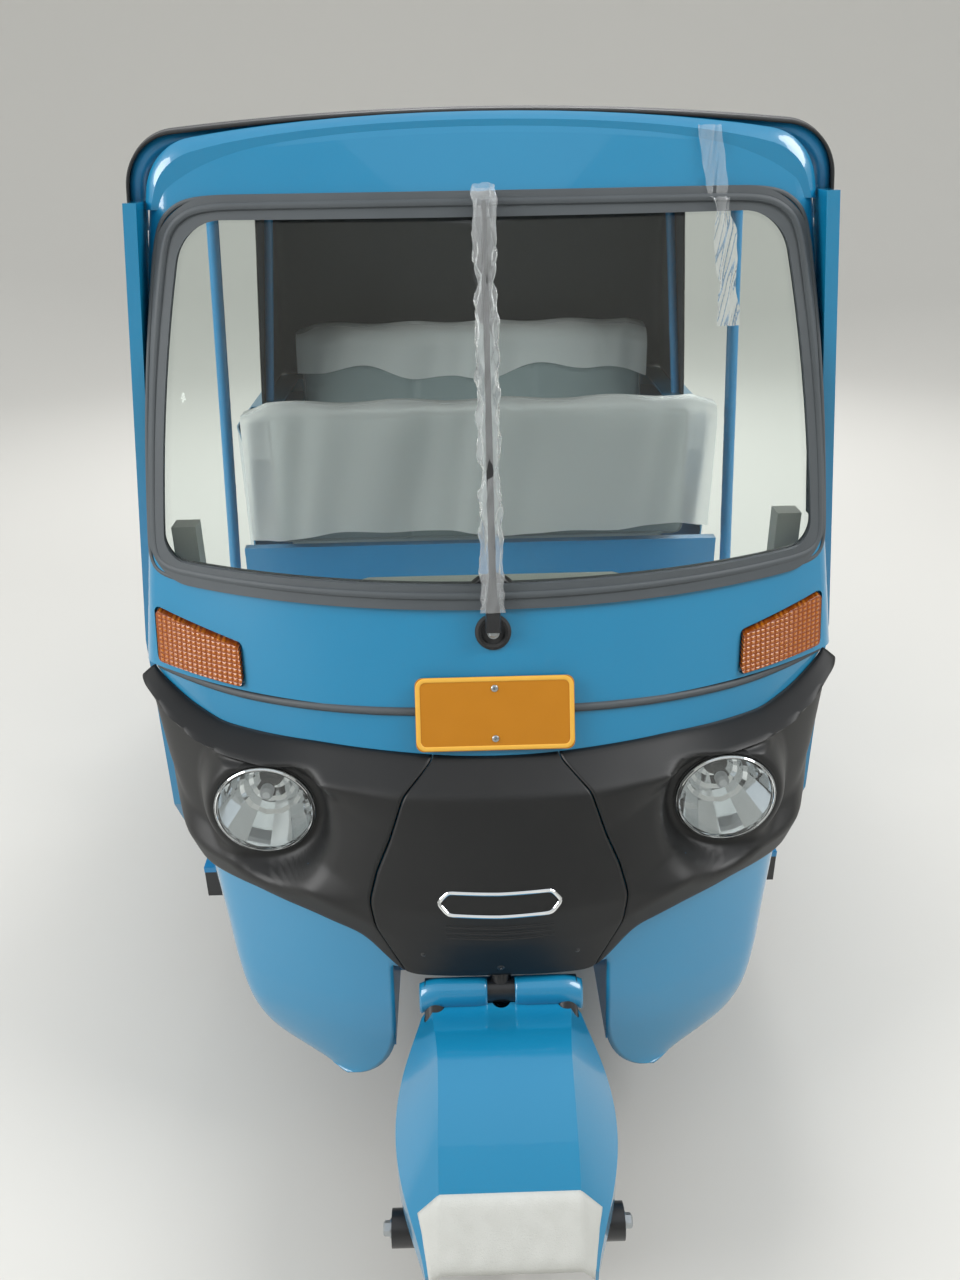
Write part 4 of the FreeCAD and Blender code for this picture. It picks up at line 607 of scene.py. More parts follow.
reach = np.linspace(0, wiper["armLength"], 24)
width = np.interp(reach, (0, 0.05, 0.06, wiper["armLength"]), (0.012, 0.011, 0.0065, 0.0045))
armProfile = np.array([
    (-1, -0.25), (-0.9, 0.25), (0.9, 0.25), (1, -0.25), (0.8, -0.25), (0.7, 0.0), (-0.7, 0.0), (-0.8, -0.25)])
armWide = (armProfile[:, 0] * width[:, None])[..., None]
armPoints = (upFace(reach, wiper["armStand"])[:, None] + armWide * sideways
             + armProfile[:, 1, None] * wiper["armDeep"] * plateOut)
armFaces = [*gridFaces(24, 8, False, True), list(range(8)), list(range(23 * 8, 24 * 8))]
wiperArm = addPiece("wiper_arm", armPoints, armFaces, "body", blackPaint, "black_paint")
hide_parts("wiper")
bladeReach = wiper["bladeStart"] + np.linspace(0, wiper["bladeLength"], 30)
bladeProfile = [(-0.004, 0.004), (0.004, 0.004), (0.0045, 0.0), (0.0012, -0.002), (0.001, -0.008),
                (-0.001, -0.008), (-0.0012, -0.002), (-0.0045, 0.0)]
blade = carried(bladeProfile, upFace(bladeReach, wiper["bladeStand"]), plateOut)
addPiece("wiper_blade", *blade, "body", gripRubber, "screen_rubber")
bridgeProfile = [(-0.003, -0.002), (-0.0025, 0.002), (0.0025, 0.002), (0.003, -0.002)]
arching = wiper["bridgeStand"] + 0.006 * np.sin(np.linspace(0, math.pi, 12))[:, None]
bridges = [carried(bridgeProfile, upFace(np.linspace(low, high, 12), arching), plateOut)
           for low, high in ((0.2, 0.33), (0.33, 0.47), (0.47, 0.6))]
addPiece("wiper_bridges", *gathered(bridges), "body", blackPaint, "black_paint")



def pinched(along, pinches):
    # a width's share along a strip, narrowed by a bell at each (place, amount, width)
    return 1 - sum(amount * np.exp(-((along - place) / wide) ** 2) for place, amount, wide in pinches)


# the film: a flattened tube with waves that run round and along it, its back kept off the glass
film = {"rows": 90, "around": 36, "half": 0.0155, "depth": 0.011, "crinkle": 0.0026, "stand": 0.0195,
        "least": 0.0095, "pinches": ((0.33, 0.35, 0.03), (0.78, 0.3, 0.03))}
along, turn = np.linspace(0, 1, film["rows"])[:, None], fullTurn(film["around"])[None]
crinkle = film["crinkle"] * (
    np.sin(turn * 5 + 40 * along + 2 * np.sin(23 * along)) + 0.7 * np.sin(turn * 3 - 71 * along)
    + 0.5 * np.sin(turn * 9 + 130 * along))
narrowed = pinched(along, film["pinches"])
filmX = (film["half"] * narrowed + crinkle) * np.cos(turn)
filmOut = film["stand"] + (film["depth"] * narrowed + 0.6 * crinkle) * np.sin(turn)
filmPoints = (upFace(wiper["filmStart"] + wiper["filmLength"] * along * np.ones_like(turn))
              + filmX[..., None] * sideways + np.maximum(filmOut, film["least"])[..., None] * plateOut)
filmFaces = gridFaces(film["rows"], film["around"], False, True)
wiperFilm = addPiece("wiper_transit_film", filmPoints, filmFaces, "body", clearFilm, "screen_glass",
                     closed=False, crease=180)

# Strip of the same film that hangs from the header over the screen's corner
strip = {"half": 0.017, "rows": 70, "columns": 16, "top": (0.333, 1.665), "drift": 0.045, "swing": 0.03,
         "length": 0.2758, "rubberFrom": 0.36, "stands": (0.004, 0.013), "ripple": 0.0035,
         "pinches": ((0.42, 0.45, 0.06), (0.8, 0.25, 0.05))}
along, over = np.linspace(0, 1, strip["rows"])[:, None], np.linspace(-1, 1, strip["columns"])[None]
stripX = (strip["top"][0] + strip["drift"] * along - strip["swing"] * clamp(along - 0.5)
          + strip["half"] * pinched(along, strip["pinches"]) * over)
stripZ = strip["top"][1] - strip["length"] * along + 0 * over
ripple = strip["ripple"] * (1 + np.sin(7 * over + 31 * along) * np.sin(17 * along + 2 * over))
stripStand = np.where(along < strip["rubberFrom"], *strip["stands"]) + ripple
stripFilm = addPiece(
    "header_transit_film", onFront(stripX, stripZ, stripStand[..., None]),
    gridFaces(strip["rows"], strip["columns"]), "body", clearFilm, "screen_glass", closed=False, crease=180)
print("front trim and wiper made")

# The cowl's stations, as the source has them
cowlTable = np.array([  # across, then for each column how far below the waist and how far in front of the nose
    (0, 62, 5, 98, 46, 178, 44, 268, 39, 323, 30, 391, 8),
    (70, 62, 5, 99, 46, 177, 42, 266, 37, 323, 28, 394, 8),
    (140, 60, 5, 101, 47, 174, 38, 262, 34, 321, 26, 396, 9),
    (200, 59, 5, 100, 45, 150, 33, 246, 30, 292, 30, 335, 12),
    (283, 58, 5, 100, 50, 111, 20, 226, 14, 264, 34, 315, 14),
    (368, 61, 5, 80, 58, 93, 16, 238, 11, 266, 32, 306, 14),
    (450, 63, 5, 80, 54, 93, 16, 238, 11, 266, 30, 308, 14),
    (510, 48, 5, 64, 46, 78, 16, 226, 12, 262, 26, 308, 12),
    (558, 16, 6, 32, 30, 46, 16, 176, 13, 216, 20, 246, 10)]) / 1000


def cowlY(x, z):
    # the outside of the cowl: straight between stations and between the columns of each
    x, z = np.broadcast_arrays(np.abs(np.asarray(x, float)), np.asarray(z, float))
    result = np.empty_like(x)
    for index in np.ndindex(x.shape):
        columns = [np.interp(x[index], cowlTable[:, 0], cowlTable[:, k]) for k in range(1, 13)]
        drops = np.array(columns[0::2])
        outs = frontY(x[index], faceShape["waist"] - drops) - np.array(columns[1::2])
        result[index] = np.interp(faceShape["waist"] - z[index], drops, outs)
    return result


def onCowl(x, z, stand):
    x, z = np.asarray(x, float), np.asarray(z, float)
    return joined(x, cowlY(x, z) - stand, z)


# Lower shell: two bulging leg shields under a bowed band, as one pressed sheet; the source has flat facets
shellTable = np.array([  # height, middle, half width at the corner, corner, half width at the hoop
    (0.868, -0.8296, 0.584, -0.6003, 0.584), (0.7, -0.902, 0.545, -0.668, 0.584),
    (0.6, -0.945, 0.499, -0.742, 0.584), (0.53, -0.96, 0.472, -0.782, 0.58),
    (0.45, -0.976, 0.451, -0.823, 0.572), (0.4, -0.984, 0.441, -0.845, 0.562),
    (0.35, -0.987, 0.43, -0.862, 0.548), (0.2, -0.987, 0.426, -0.872, 0.548)])
shell = {"notchHalf": 0.17, "notchTop": 0.479, "centreColumns": 24, "sideColumns": 72, "foot": 0.241,
         "roundFrom": 0.372, "lobeMiddle": 0.298, "backY": -0.5, "footShare": 0.945, "narrowest": 0.3,
         "thickness": 0.004, "cornerRounds": 26, "lowestPlan": 0.21, "lampHole": 0.108, "lampHoleTop": 0.785}
lampPlace = (0.368, 0.699)


def planLine(z, count):
    # half of the shell seen from above at one height, from the middle to the hoop, evenly spaced
    middle, half, corner, wide = (np.interp(-z, -shellTable[:, 0], shellTable[:, k]) for k in range(1, 5))
    x = np.linspace(0, half, 60)
    line = np.concatenate([joined(x, bowed(x, middle, corner, half)), [(wide, shell["backY"])]])
    return evenly(softened(spaced(line, 0.006), shell["cornerRounds"]), count)


def splitLine(z):
    # the same line with a point where the notch for the wheel begins
    line = planLine(z, 400)
    places = np.linspace(0, shell["notchHalf"], shell["centreColumns"] + 1)
    centre = joined(places, np.interp(places, line[:, 0], line[:, 1]))
    outer = np.concatenate([centre[-1:], line[line[:, 0] > shell["notchHalf"] + 1e-4]])
    return np.concatenate([centre[:-1], evenly(outer, shell["sideColumns"] + 1)])


# each lobe's foot is an ellipse: it narrows and draws back by the square root of 1 - depth squared
roundDeep = shell["roundFrom"] - shell["foot"]
shellRows = np.concatenate([
    np.linspace(faceShape["waist"], shell["notchTop"], 42),
    np.linspace(shell["notchTop"], shell["roundFrom"], 12)[1:],
    shell["roundFrom"] - roundDeep * np.sin(np.linspace(0, math.pi / 2, 22)[1:])])
halfShell = []
for z in shellRows:
    line = splitLine(max(z, shell["lowestPlan"]))
    roundness = math.sqrt(1 - clamp((shell["roundFrom"] - z) / roundDeep) ** 2)
    narrow = shell["narrowest"] + (1 - shell["narrowest"]) * roundness
    x = shell["lobeMiddle"] + (line[:, 0] - shell["lobeMiddle"]) * narrow
    drawn = shell["footShare"] + (1 - shell["footShare"]) * roundness
    y = shell["backY"] + (line[:, 1] - shell["backY"]) * drawn
    x = np.where(line[:, 0] < shell["notchHalf"] - 1e-6, line[:, 0], x)
    halfShell.append(joined(x, y, np.full(len(line), z)))
halfShell = np.array(halfShell)
wholeShell = np.concatenate([halfShell[:, ::-1] * (-1, 1, 1), halfShell[:, 1:]], 1)
rows, columns = wholeShell.shape[:2]
faces = gridFaces(rows, columns)
centre = columns // 2
notchRow = int(np.searchsorted(-shellRows, -shell["notchTop"]))
column, row = faces[:, 0] % columns, faces[:, 0] // columns
fromCentre = column - centre
inNotch = (row >= notchRow) & (fromCentre >= -shell["centreColumns"]) & (fromCentre < shell["centreColumns"])
middles = wholeShell.reshape(-1, 3)[faces].mean(1)
fromLamp = np.hypot(np.abs(middles[:, 0]) - lampPlace[0], middles[:, 2] - lampPlace[1])
inLamp = (fromLamp < shell["lampHole"]) & (middles[:, 2] < shell["lampHoleTop"])
lowerShell = addPiece("front_lower_pressing", wholeShell, faces[~inNotch & ~inLamp], "body", bluePaint,
                      "blue_paint", closed=False, crease=40)
turnForwards(lowerShell)
thicken(lowerShell, shell["thickness"], -1.0)
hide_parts("front_lower_shell")

# Inner cheeks of the leg shields, from their round inner edges back beside the wheel
cheek = {"levels": np.linspace(0.34, 0.262, 16), "backY": -0.64, "least": 0.1765, "behind": 0.002,
         "thickness": 0.002}
edge = halfShell[:, shell["centreColumns"]]
edgeX, edgeY = (np.interp(-cheek["levels"], -edge[:, 2], edge[:, k])[:, None] for k in (0, 1))
backwards = np.linspace(0, 1, 20)[None]
cheekPoints = joined(
    edgeX + (np.maximum(edgeX, cheek["least"]) - edgeX) * np.minimum(backwards * 4, 1),
    edgeY + cheek["behind"] + (cheek["backY"] - edgeY) * backwards, cheek["levels"][:, None])
for word, side in (("left", 1), ("right", -1)):
    panel = addPiece("leg_shield_cheek_" + word, cheekPoints * (side, 1, 1), gridFaces(16, 20), "body",
                     bluePaint, "blue_paint", closed=False)
    thicken(panel, cheek["thickness"], side)

# Cowl: a moulded skin that stands off the shell by the station table, dished round each headlamp
cowl = {"half": 130, "rows": 56, "wall": 0.003, "hole": 0.0815, "dish": 0.127, "dishTop": 0.789,
        "rimY": -0.8285, "seamGap": 0.0012, "stationRun": 0.0045, "planCount": 200,
        "foldIns": ((0.0, -0.004), (0.0, -0.006))}
lineAtLamp = planLine(0.7, 400)
stationPlace = np.interp(cowlTable[:, 0], lineAtLamp[:, 0], np.linspace(0, 1, 400))
place = np.linspace(0, stationPlace[-1], cowl["half"])
columnsOf = np.array([softened(np.interp(place, stationPlace, values)[:, None], 14)[:, 0]
                      for values in cowlTable.T[1:]])
cowlHalf = []
for profile in joined(columnsOf[0::2].T, columnsOf[1::2].T):
    folded = np.concatenate([[profile[0] + cowl["foldIns"][0]], profile, [profile[-1] + cowl["foldIns"][1]]])
    cowlHalf.append(evenly(softened(spaced(folded, 0.0025), 5), cowl["rows"]))
cowlHalf = np.array(cowlHalf)
levels = np.linspace(0.44, faceShape["waist"], 60)
plans = np.array([planLine(z, cowl["planCount"]) for z in levels])
ahead = np.gradient(plans, axis=1)
plansOut = unit(joined(ahead[..., 1], -ahead[..., 0]))


def fromPlans(values, share, z):
    # reads a table of plan lines at a share along them and a height, straight between its entries
    last = cowl["planCount"] - 1
    across, up = share * last, np.clip((z - levels[0]) / (levels[-1] - levels[0]) * 59, 0, 58.999)
    i, j = np.minimum(across.astype(int), last - 1), up.astype(int)
    a, b = (across - i)[..., None], (up - j)[..., None]
    lower = values[j, i] * (1 - a) + values[j, i + 1] * a
    return lower * (1 - b) + (values[j + 1, i] * (1 - a) + values[j + 1, i + 1] * a) * b


z = faceShape["waist"] - cowlHalf[..., 0]
share = np.broadcast_to(place[:, None], z.shape)
base, out = fromPlans(plans, share, z), fromPlans(plansOut, share, z)
stood = base + out * cowlHalf[..., 1, None]
skin = joined(stood[..., 0], stood[..., 1], z, base[..., 1])
skin[0, :, 0] = 0.0
seam = np.array([(0.0965, 0.803), (0.0975, 0.803), (0.142, 0.768), (0.165, 0.7), (0.186, 0.653), (0.199, 0.606),
                 (0.191, 0.56), (0.144, 0.472), (0.12, 0.44)])
seamPlace = []
for column in range(cowl["rows"]):
    gap = skin[:, column, 0] - np.interp(-skin[:, column, 2], -seam[:, 1], seam[:, 0])
    seamPlace.append(np.interp(0.0, gap[: cowl["half"] // 2], np.arange(cowl["half"] // 2)))
seamPlace = softened(np.array(seamPlace)[:, None], 2)[:, 0]


def skinGrid(low, high, count):
    # the cowl's skin read along its stations between two places for each row, dished round the lamp
    steps = low[None] + (high - low)[None] * np.linspace(0, 1, count)[:, None]
    index = np.minimum(steps.astype(int), cowl["half"] - 2)
    rest = (steps - index)[..., None]
    rows = np.arange(cowl["rows"])[None]
    x, y, z, behind = np.moveaxis(skin[index, rows] * (1 - rest) + skin[index + 1, rows] * rest, -1, 0)
    lampX, lampZ = lampPlace
    fromLamp = np.hypot(x - lampX, z - lampZ)
    # the dish's depth eases in and out by share squared times (3 - 2 share), and fades below the cowl's top
    dish = clamp((cowl["dish"] - fromLamp) / (cowl["dish"] - cowl["hole"] - 0.006))
    dish = dish * dish * (3 - 2 * dish) * clamp((cowl["dishTop"] - z) / 0.012)
    # it stays in front of the shell, except within the shell's own hole
    limit = behind - 0.006 + 0.05 * clamp((0.1095 - fromLamp) / 0.014)
    y = y * (1 - dish) + np.minimum(cowl["rimY"], limit) * dish
    inside = fromLamp < cowl["hole"]
    push = np.where(fromLamp < cowl["hole"] + 0.002, cowl["hole"] / np.maximum(fromLamp, 1e-6), 1.0)
    x, z = lampX + (x - lampX) * push, lampZ + (z - lampZ) * push
    faces = gridFaces(count, cowl["rows"])
    return joined(x, y, z).reshape(-1, 3), faces[~inside.reshape(-1)[faces].all(1)]


def moulded(name, parts):
    points, faces = gathered(parts)
    piece = addPiece(name, points, faces, "body", cowlPlastic, "cowl_plastic", closed=False, crease=50)
    turnForwards(piece)
    thicken(piece, cowl["wall"], -1.0)
    return piece


def mirrored(part):
    points, faces = part
    return points * (-1, 1, 1), faces[:, ::-1]


gap = cowl["seamGap"] / cowl["stationRun"]
centreHalf = skinGrid(0 * seamPlace, seamPlace - gap, 44)
centrePiece = moulded("cowl_centre_moulding", [centreHalf, mirrored(centreHalf)])
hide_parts("cowl_centre")
wingLeft = skinGrid(seamPlace + gap, 0 * seamPlace + cowl["half"] - 1.0001, 100)
for word, side, part in (("left", 1, wingLeft), ("right", -1, mirrored(wingLeft))):
    wing = moulded("cowl_wing_%s_moulding" % word, [part])
    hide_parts("cowl_wing_" + word)
    sleeve = turned(
        [(0.0, 0.0806), (0.0, 0.0835), (0.008, 0.086), (0.09, 0.086), (0.09, 0.0806), (0.0, 0.0806)],
        (side * lampPlace[0], cowl["rimY"] - 0.001, lampPlace[1]), (0, 1, 0), 72)
    addPiece("headlamp_sleeve_" + word, *sleeve, "body", cowlPlastic, "cowl_plastic")

# Cowl details: badge outline, three grooves and screws
forward = np.array([0.0, -1.0, 0.0])
badge = {"half": 0.078, "point": 0.094, "halfHeight": 0.0165, "middle": 0.617, "line": 0.0032}
half, halfHeight = badge["half"], badge["halfHeight"]
corners = [(half, halfHeight), (-half, halfHeight), (-badge["point"], 0), (-half, -halfHeight),
           (half, -halfHeight), (badge["point"], 0)]
ring = softenedRing(spaced(corners + corners[:1], 0.004)[:-1] + (0, badge["middle"]), 2)
outline = carried(ringProfile(badge["line"], 8, 0.6), onCowl(*ring.T, 0.0012), forward, around=True)
addPiece("cowl_badge_outline", *outline, "body", lampChrome, "lamp_chrome")

grooveProfile = [(-0.0028, 0.0), (-0.0022, 0.0016), (0.0, 0.0004), (0.0022, 0.0016), (0.0028, 0.0)]
across = np.linspace(-0.083, 0.083, 40)
grooves = [carried(grooveProfile, onCowl(across, np.full(40, z), 0.0), np.tile(forward, (40, 1)))
           for z in (0.579, 0.569, 0.559)]
addPiece("cowl_grooves", *gathered(grooves), "body", gripRubber, "cowl_plastic")

fixings = [screwHead(onCowl(np.array(x), np.array(z), -0.0002), forward, 0.006)
           for x, z in ((0.118, 0.52), (-0.118, 0.52), (0.0, 0.497))]
addPiece("cowl_screws", *gathered(fixings), "body", blackPaint, "black_paint")

# Headlamps: faceted reflector, chrome bezel, and bulb with its cap and collar; profiles of (depth, radius)
lamp = {
    "front": -0.832, "radius": 0.08, "inner": 0.074, "depth": 0.082, "rings": 14, "around": 48, "facets": 12,
    "step": 1 / 90, "stepShare": 0.6, "ripple": 0.0018, "wall": 0.003,
    "turned": {  # middle, profile, count around, finish and slot
        "bezel": ((0, 0, 0), [(0.004, 0.0725), (-0.001, 0.0735), (-0.0035, 0.0765), (-0.0015, 0.0795),
                              (0.004, 0.0798), (0.012, 0.0798), (0.012, 0.0725), (0.004, 0.0725)],
                  64, lampChrome, "lamp_chrome"),
        "bulb": ((0, 0.018, 0.012), [(0.008, 0.0), (0.0095, 0.006), (0.014, 0.0085), (0.034, 0.0085),
                                     (0.046, 0.0085), (0.046, 0.0)], 28, lampLens, "lamp_lens"),
        "bulb_cap": ((0, 0.018, 0.012), [(0.004, 0.0), (0.0045, 0.006), (0.008, 0.0098), (0.018, 0.0098),
                                         (0.019, 0.0)], 28, rimPaint, "lamp_chrome"),
        "bulb_collar": ((0, 0.018, 0.012), [(0.044, 0.0), (0.044, 0.017), (0.05, 0.019), (0.062, 0.019),
                                            (0.062, 0.0)], 28, blackPaint, "lamp_chrome"),
    }}
rings, around = lamp["rings"], lamp["around"]
radial = np.linspace(0.0001, lamp["inner"], rings)
turn = fullTurn(around)
facetTurn = 2 * math.pi / lamp["facets"]
# the reflector's depth falls with the square of the radius, partly in steps; a ripple bows each facet
depth = lamp["depth"] * (1 - (radial / lamp["inner"]) ** 2)
stepped = np.round(depth / lamp["step"]) * lamp["step"] * lamp["stepShare"] + depth * (1 - lamp["stepShare"])
ripple = lamp["ripple"] * np.cos((turn - np.round(turn / facetTurn) * facetTurn) * lamp["facets"])
dishPoints = joined(
    radial[:, None] * np.cos(turn), stepped[:, None] + 0.004 + ripple * (radial[:, None] / lamp["radius"]),
    radial[:, None] * np.sin(turn))
lastRing, both = (rings - 1) * around, rings * around
rimFaces = [[lastRing + k, lastRing + (k + 1) % around, both + lastRing + (k + 1) % around, both + lastRing + k]
            for k in range(around)]
for side, word in ((1, "left"), (-1, "right")):
    centre = np.array([side * lampPlace[0], lamp["front"], lampPlace[1]])
    points, faces = gathered([(centre + dishPoints + (0, back, 0), gridFaces(rings, around, False, True))
                              for back in (0, lamp["wall"])])
    addPiece("headlamp_reflector_" + word, points, faces + rimFaces, "body", lampChrome, "lamp_chrome", crease=8)
    for part, (middle, profile, count, finish, slot) in lamp["turned"].items():
        made = turned(profile, centre + middle, (0, 1, 0), count)
        addPiece("headlamp_%s_%s" % (part, word), *made, "body", finish, slot)
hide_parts("headlamp_bowls")
print("cowl details and headlamps made")

# Tyres: a 4.00-8 section with three circling grooves, shoulder lugs and rings on the sidewalls
tyre = {"radius": 0.205, "steps": 216, "grooveDepth": 0.0045, "grooves": (-0.0235, 0.0, 0.0235), "lugs": 54,
        "wander": 0.0022, "rings": (0.131, 0.136, 0.17), "nutCircle": 0.062, "halfSection": [  # across and radius
            (0.033, 0.1035), (0.036, 0.113), (0.0495, 0.127), (0.0537, 0.152), (0.0515, 0.181), (0.042, 0.1965),
            (0.0215, 0.2042)]}
otherHalf = [(-x, radius) for x, radius in tyre["halfSection"]]
tyreSection = softened(spaced([*otherHalf, (0, tyre["radius"]), *tyre["halfSection"][::-1]], 0.0032), 2)
turn = fullTurn(tyre["steps"])[:, None]
across, radius = tyreSection[None, :, 0], tyreSection[None, :, 1]
crown = clamp((radius - 0.192) / 0.008)
wander = tyre["wander"] * np.sin(turn * tyre["lugs"] / 2)
groove = sum(np.exp(-(((across - place) - wander) / 0.0024) ** 4) for place in tyre["grooves"])
lug = np.where(np.sin(turn * tyre["lugs"] + 1.3 * np.sign(across)) > 0.25, 1.0, 0.0)
shoulder = clamp((np.abs(across) - 0.03) / 0.004) * clamp((radius - 0.184) / 0.004)
sideRing = sum(np.exp(-((radius - ring) / 0.0012) ** 2) for ring in tyre["rings"]) * (np.abs(across) > 0.045)
sunk = tyre["grooveDepth"] * np.maximum(groove * crown, 0.8 * shoulder * (1 - lug))
tyreRadius = radius - sunk * clamp((radius - 0.18) / 0.01)
tyreAcross = across + np.sign(across) * 0.0007 * sideRing - np.sign(across) * 0.5 * sunk * shoulder
wheels = {"front": ("front_wheel", 0.0, -1.0345), "rear_left": ("rear_wheel_left", 0.575, 0.9655),
          "rear_right": ("rear_wheel_right", -0.575, 0.9655)}


def onWheel(middle, across, radius, turn):
    x, y = middle
    return joined(x + across, y + radius * np.cos(turn), tyre["radius"] + radius * np.sin(turn))


for name, (body, *middle) in wheels.items():
    tread = onWheel(middle, tyreAcross, tyreRadius, turn)
    seat = onWheel(middle, np.linspace(0.031, -0.031, 8), 0.1035, turn)
    points = np.concatenate([tread, seat], 1)
    rubber = addPiece("tyre_%s_tread" % name, points, gridFaces(*points.shape[:2], True, True), body, tyreRubber,
                      "tyre", crease=40)
    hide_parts("tyre_" + name)
    outward = 1 if middle[0] >= 0 else -1
    nutTurns = np.arange(4) * math.pi / 2 + 0.4
    nuts = [bolt(place, (outward, 0, 0), 0.017)
            for place in onWheel(middle, outward * 0.0045, tyre["nutCircle"], nutTurns)]
    addPiece("wheel_nuts_" + name, *gathered(nuts), body, barSteel, "bar_steel")
print("tyres made")


# Cushions: blown up by cloth simulation from a slightly smaller block, then sewn channels and a welt
def block(corners, thickness, away, gap):
    # a block from four corners of its back face, gap smaller all round
    corners = np.asarray(corners, float)
    centre = corners.mean(0)
    corners = centre + (corners - centre) * (1 - 2 * gap / np.linalg.norm(corners[1] - corners[0], axis=-1))
    away = unit(np.asarray(away, float))
    low, high = corners + away * gap, corners + away * (thickness - gap)
    faces = [[3, 2, 1, 0], [4, 5, 6, 7]] + [[k, (k + 1) % 4, 4 + (k + 1) % 4, 4 + k] for k in range(4)]
    return np.concatenate([low, high]), faces


def coordinates(attributes, kind):
    # one vector of each vertex of a mesh
    values = np.empty(len(attributes) * 3)
    attributes.foreach_get(kind, values)
    return values.reshape(-1, 3)


def cushion(name, node, points, faces, settings):
    piece = addPiece(name, points, faces, "body", settings["finish"], "seat_cover", crease=180)
    bevel = piece.modifiers.new("round", "BEVEL")
    bevel.width, bevel.segments, bevel.limit_method = settings["round"], 4, "NONE"
    remesh = piece.modifiers.new("cells", "REMESH")
    remesh.mode, remesh.voxel_size = "VOXEL", settings["voxel"]
    scene.view_layers[0].update()
    start = bpy.data.meshes.new_from_object(piece.evaluated_get(bpy.context.evaluated_depsgraph_get()))
    piece.modifiers.clear()
    piece.data = start
    before = coordinates(start.vertices, "co")
    after = before
    cloth = piece.modifiers.new("blown", "CLOTH")
    cloth.settings.use_pressure = True
    cloth.settings.uniform_pressure_force = settings["pressure"]
    cloth.settings.effector_weights.gravity = 0.0
    cloth.settings.quality = 4
    cloth.collision_settings.use_collision = False
    cloth.point_cache.frame_start, cloth.point_cache.frame_end = 1, settings["frames"]
    for number in range(1, settings["frames"] + 1):
        scene.frame_set(number)
    swollen = piece.evaluated_get(bpy.context.evaluated_depsgraph_get()).to_mesh()
    after = coordinates(swollen.vertices, "co")
    piece.modifiers.clear()
    scene.frame_set(1)
    move = after - before
    length = np.linalg.norm(move, axis=1, keepdims=True)
    shape = before + move * np.minimum(1, settings["cap"] / np.maximum(length, 1e-9))
    along, out = unit(np.asarray(settings["across"], float)), unit(np.asarray(settings["out"], float))
    facing = clamp(coordinates(start.vertices, "normal") @ out)
    place = shape @ along
    for channel in settings["channels"]:
        sewn = np.exp(-((place - channel) / settings["channelWidth"]) ** 2)
        shape = shape - out * (settings["channelDepth"] * facing * sewn)[:, None]
    low, high = settings["limits"]
    shape = np.clip(shape, low, high)
    start.vertices.foreach_set("co", shape.reshape(-1))
    start.update()
    smooth = piece.modifiers.new("smooth", "SUBSURF")
    smooth.levels = smooth.render_levels = settings["levels"]
    start.materials.clear()
    start.materials.append(settings["finish"])
    start.shade_smooth()
    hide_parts(node)
    print("cushion", name, len(before), "points, moved up to", round(float(length.max()), 4))
    return piece


def welt(name, piece, ring, outward, lift=0.0015, radius=0.0035):
    # a piped seam laid on a cushion's surface along a ring of places
    tree = BVHTree.FromObject(piece, bpy.context.evaluated_depsgraph_get())
    settled = np.array([tuple(tree.find_nearest(Vector(place))[0]) for place in ring.tolist()])
    settled = softenedRing(settled, 3)
    path = settled + unit(settled - settled.mean(0)) * lift
    points, faces = carried(ringProfile(radius, 8), path, outward, around=True)
    addPiece(name, points, faces, "body", seatPiping, "seat_cover", crease=180)


def ringOf(corners, step=0.012):
    corners = np.asarray(corners, float)
    return spaced(np.concatenate([corners, corners[:1]]), step)[:-1]


benchBack = {"foot": (1.048, 0.6135), "top": (1.136, 1.121), "depth": 0.092}
backLine = np.subtract(benchBack["top"], benchBack["foot"])
lean = unit(np.array([0, *backLine]))
frontOfBack = np.array([0, -lean[2], lean[1]])


def level(halfX, nearY, farY, z):
    return [(-halfX, nearY, z), (halfX, nearY, z), (halfX, farY, z), (-halfX, farY, z)]


def upright(halfX, lowYZ, highYZ):
    return [(-halfX, *lowYZ), (halfX, *lowYZ), (halfX, *highYZ), (-halfX, *highYZ)]


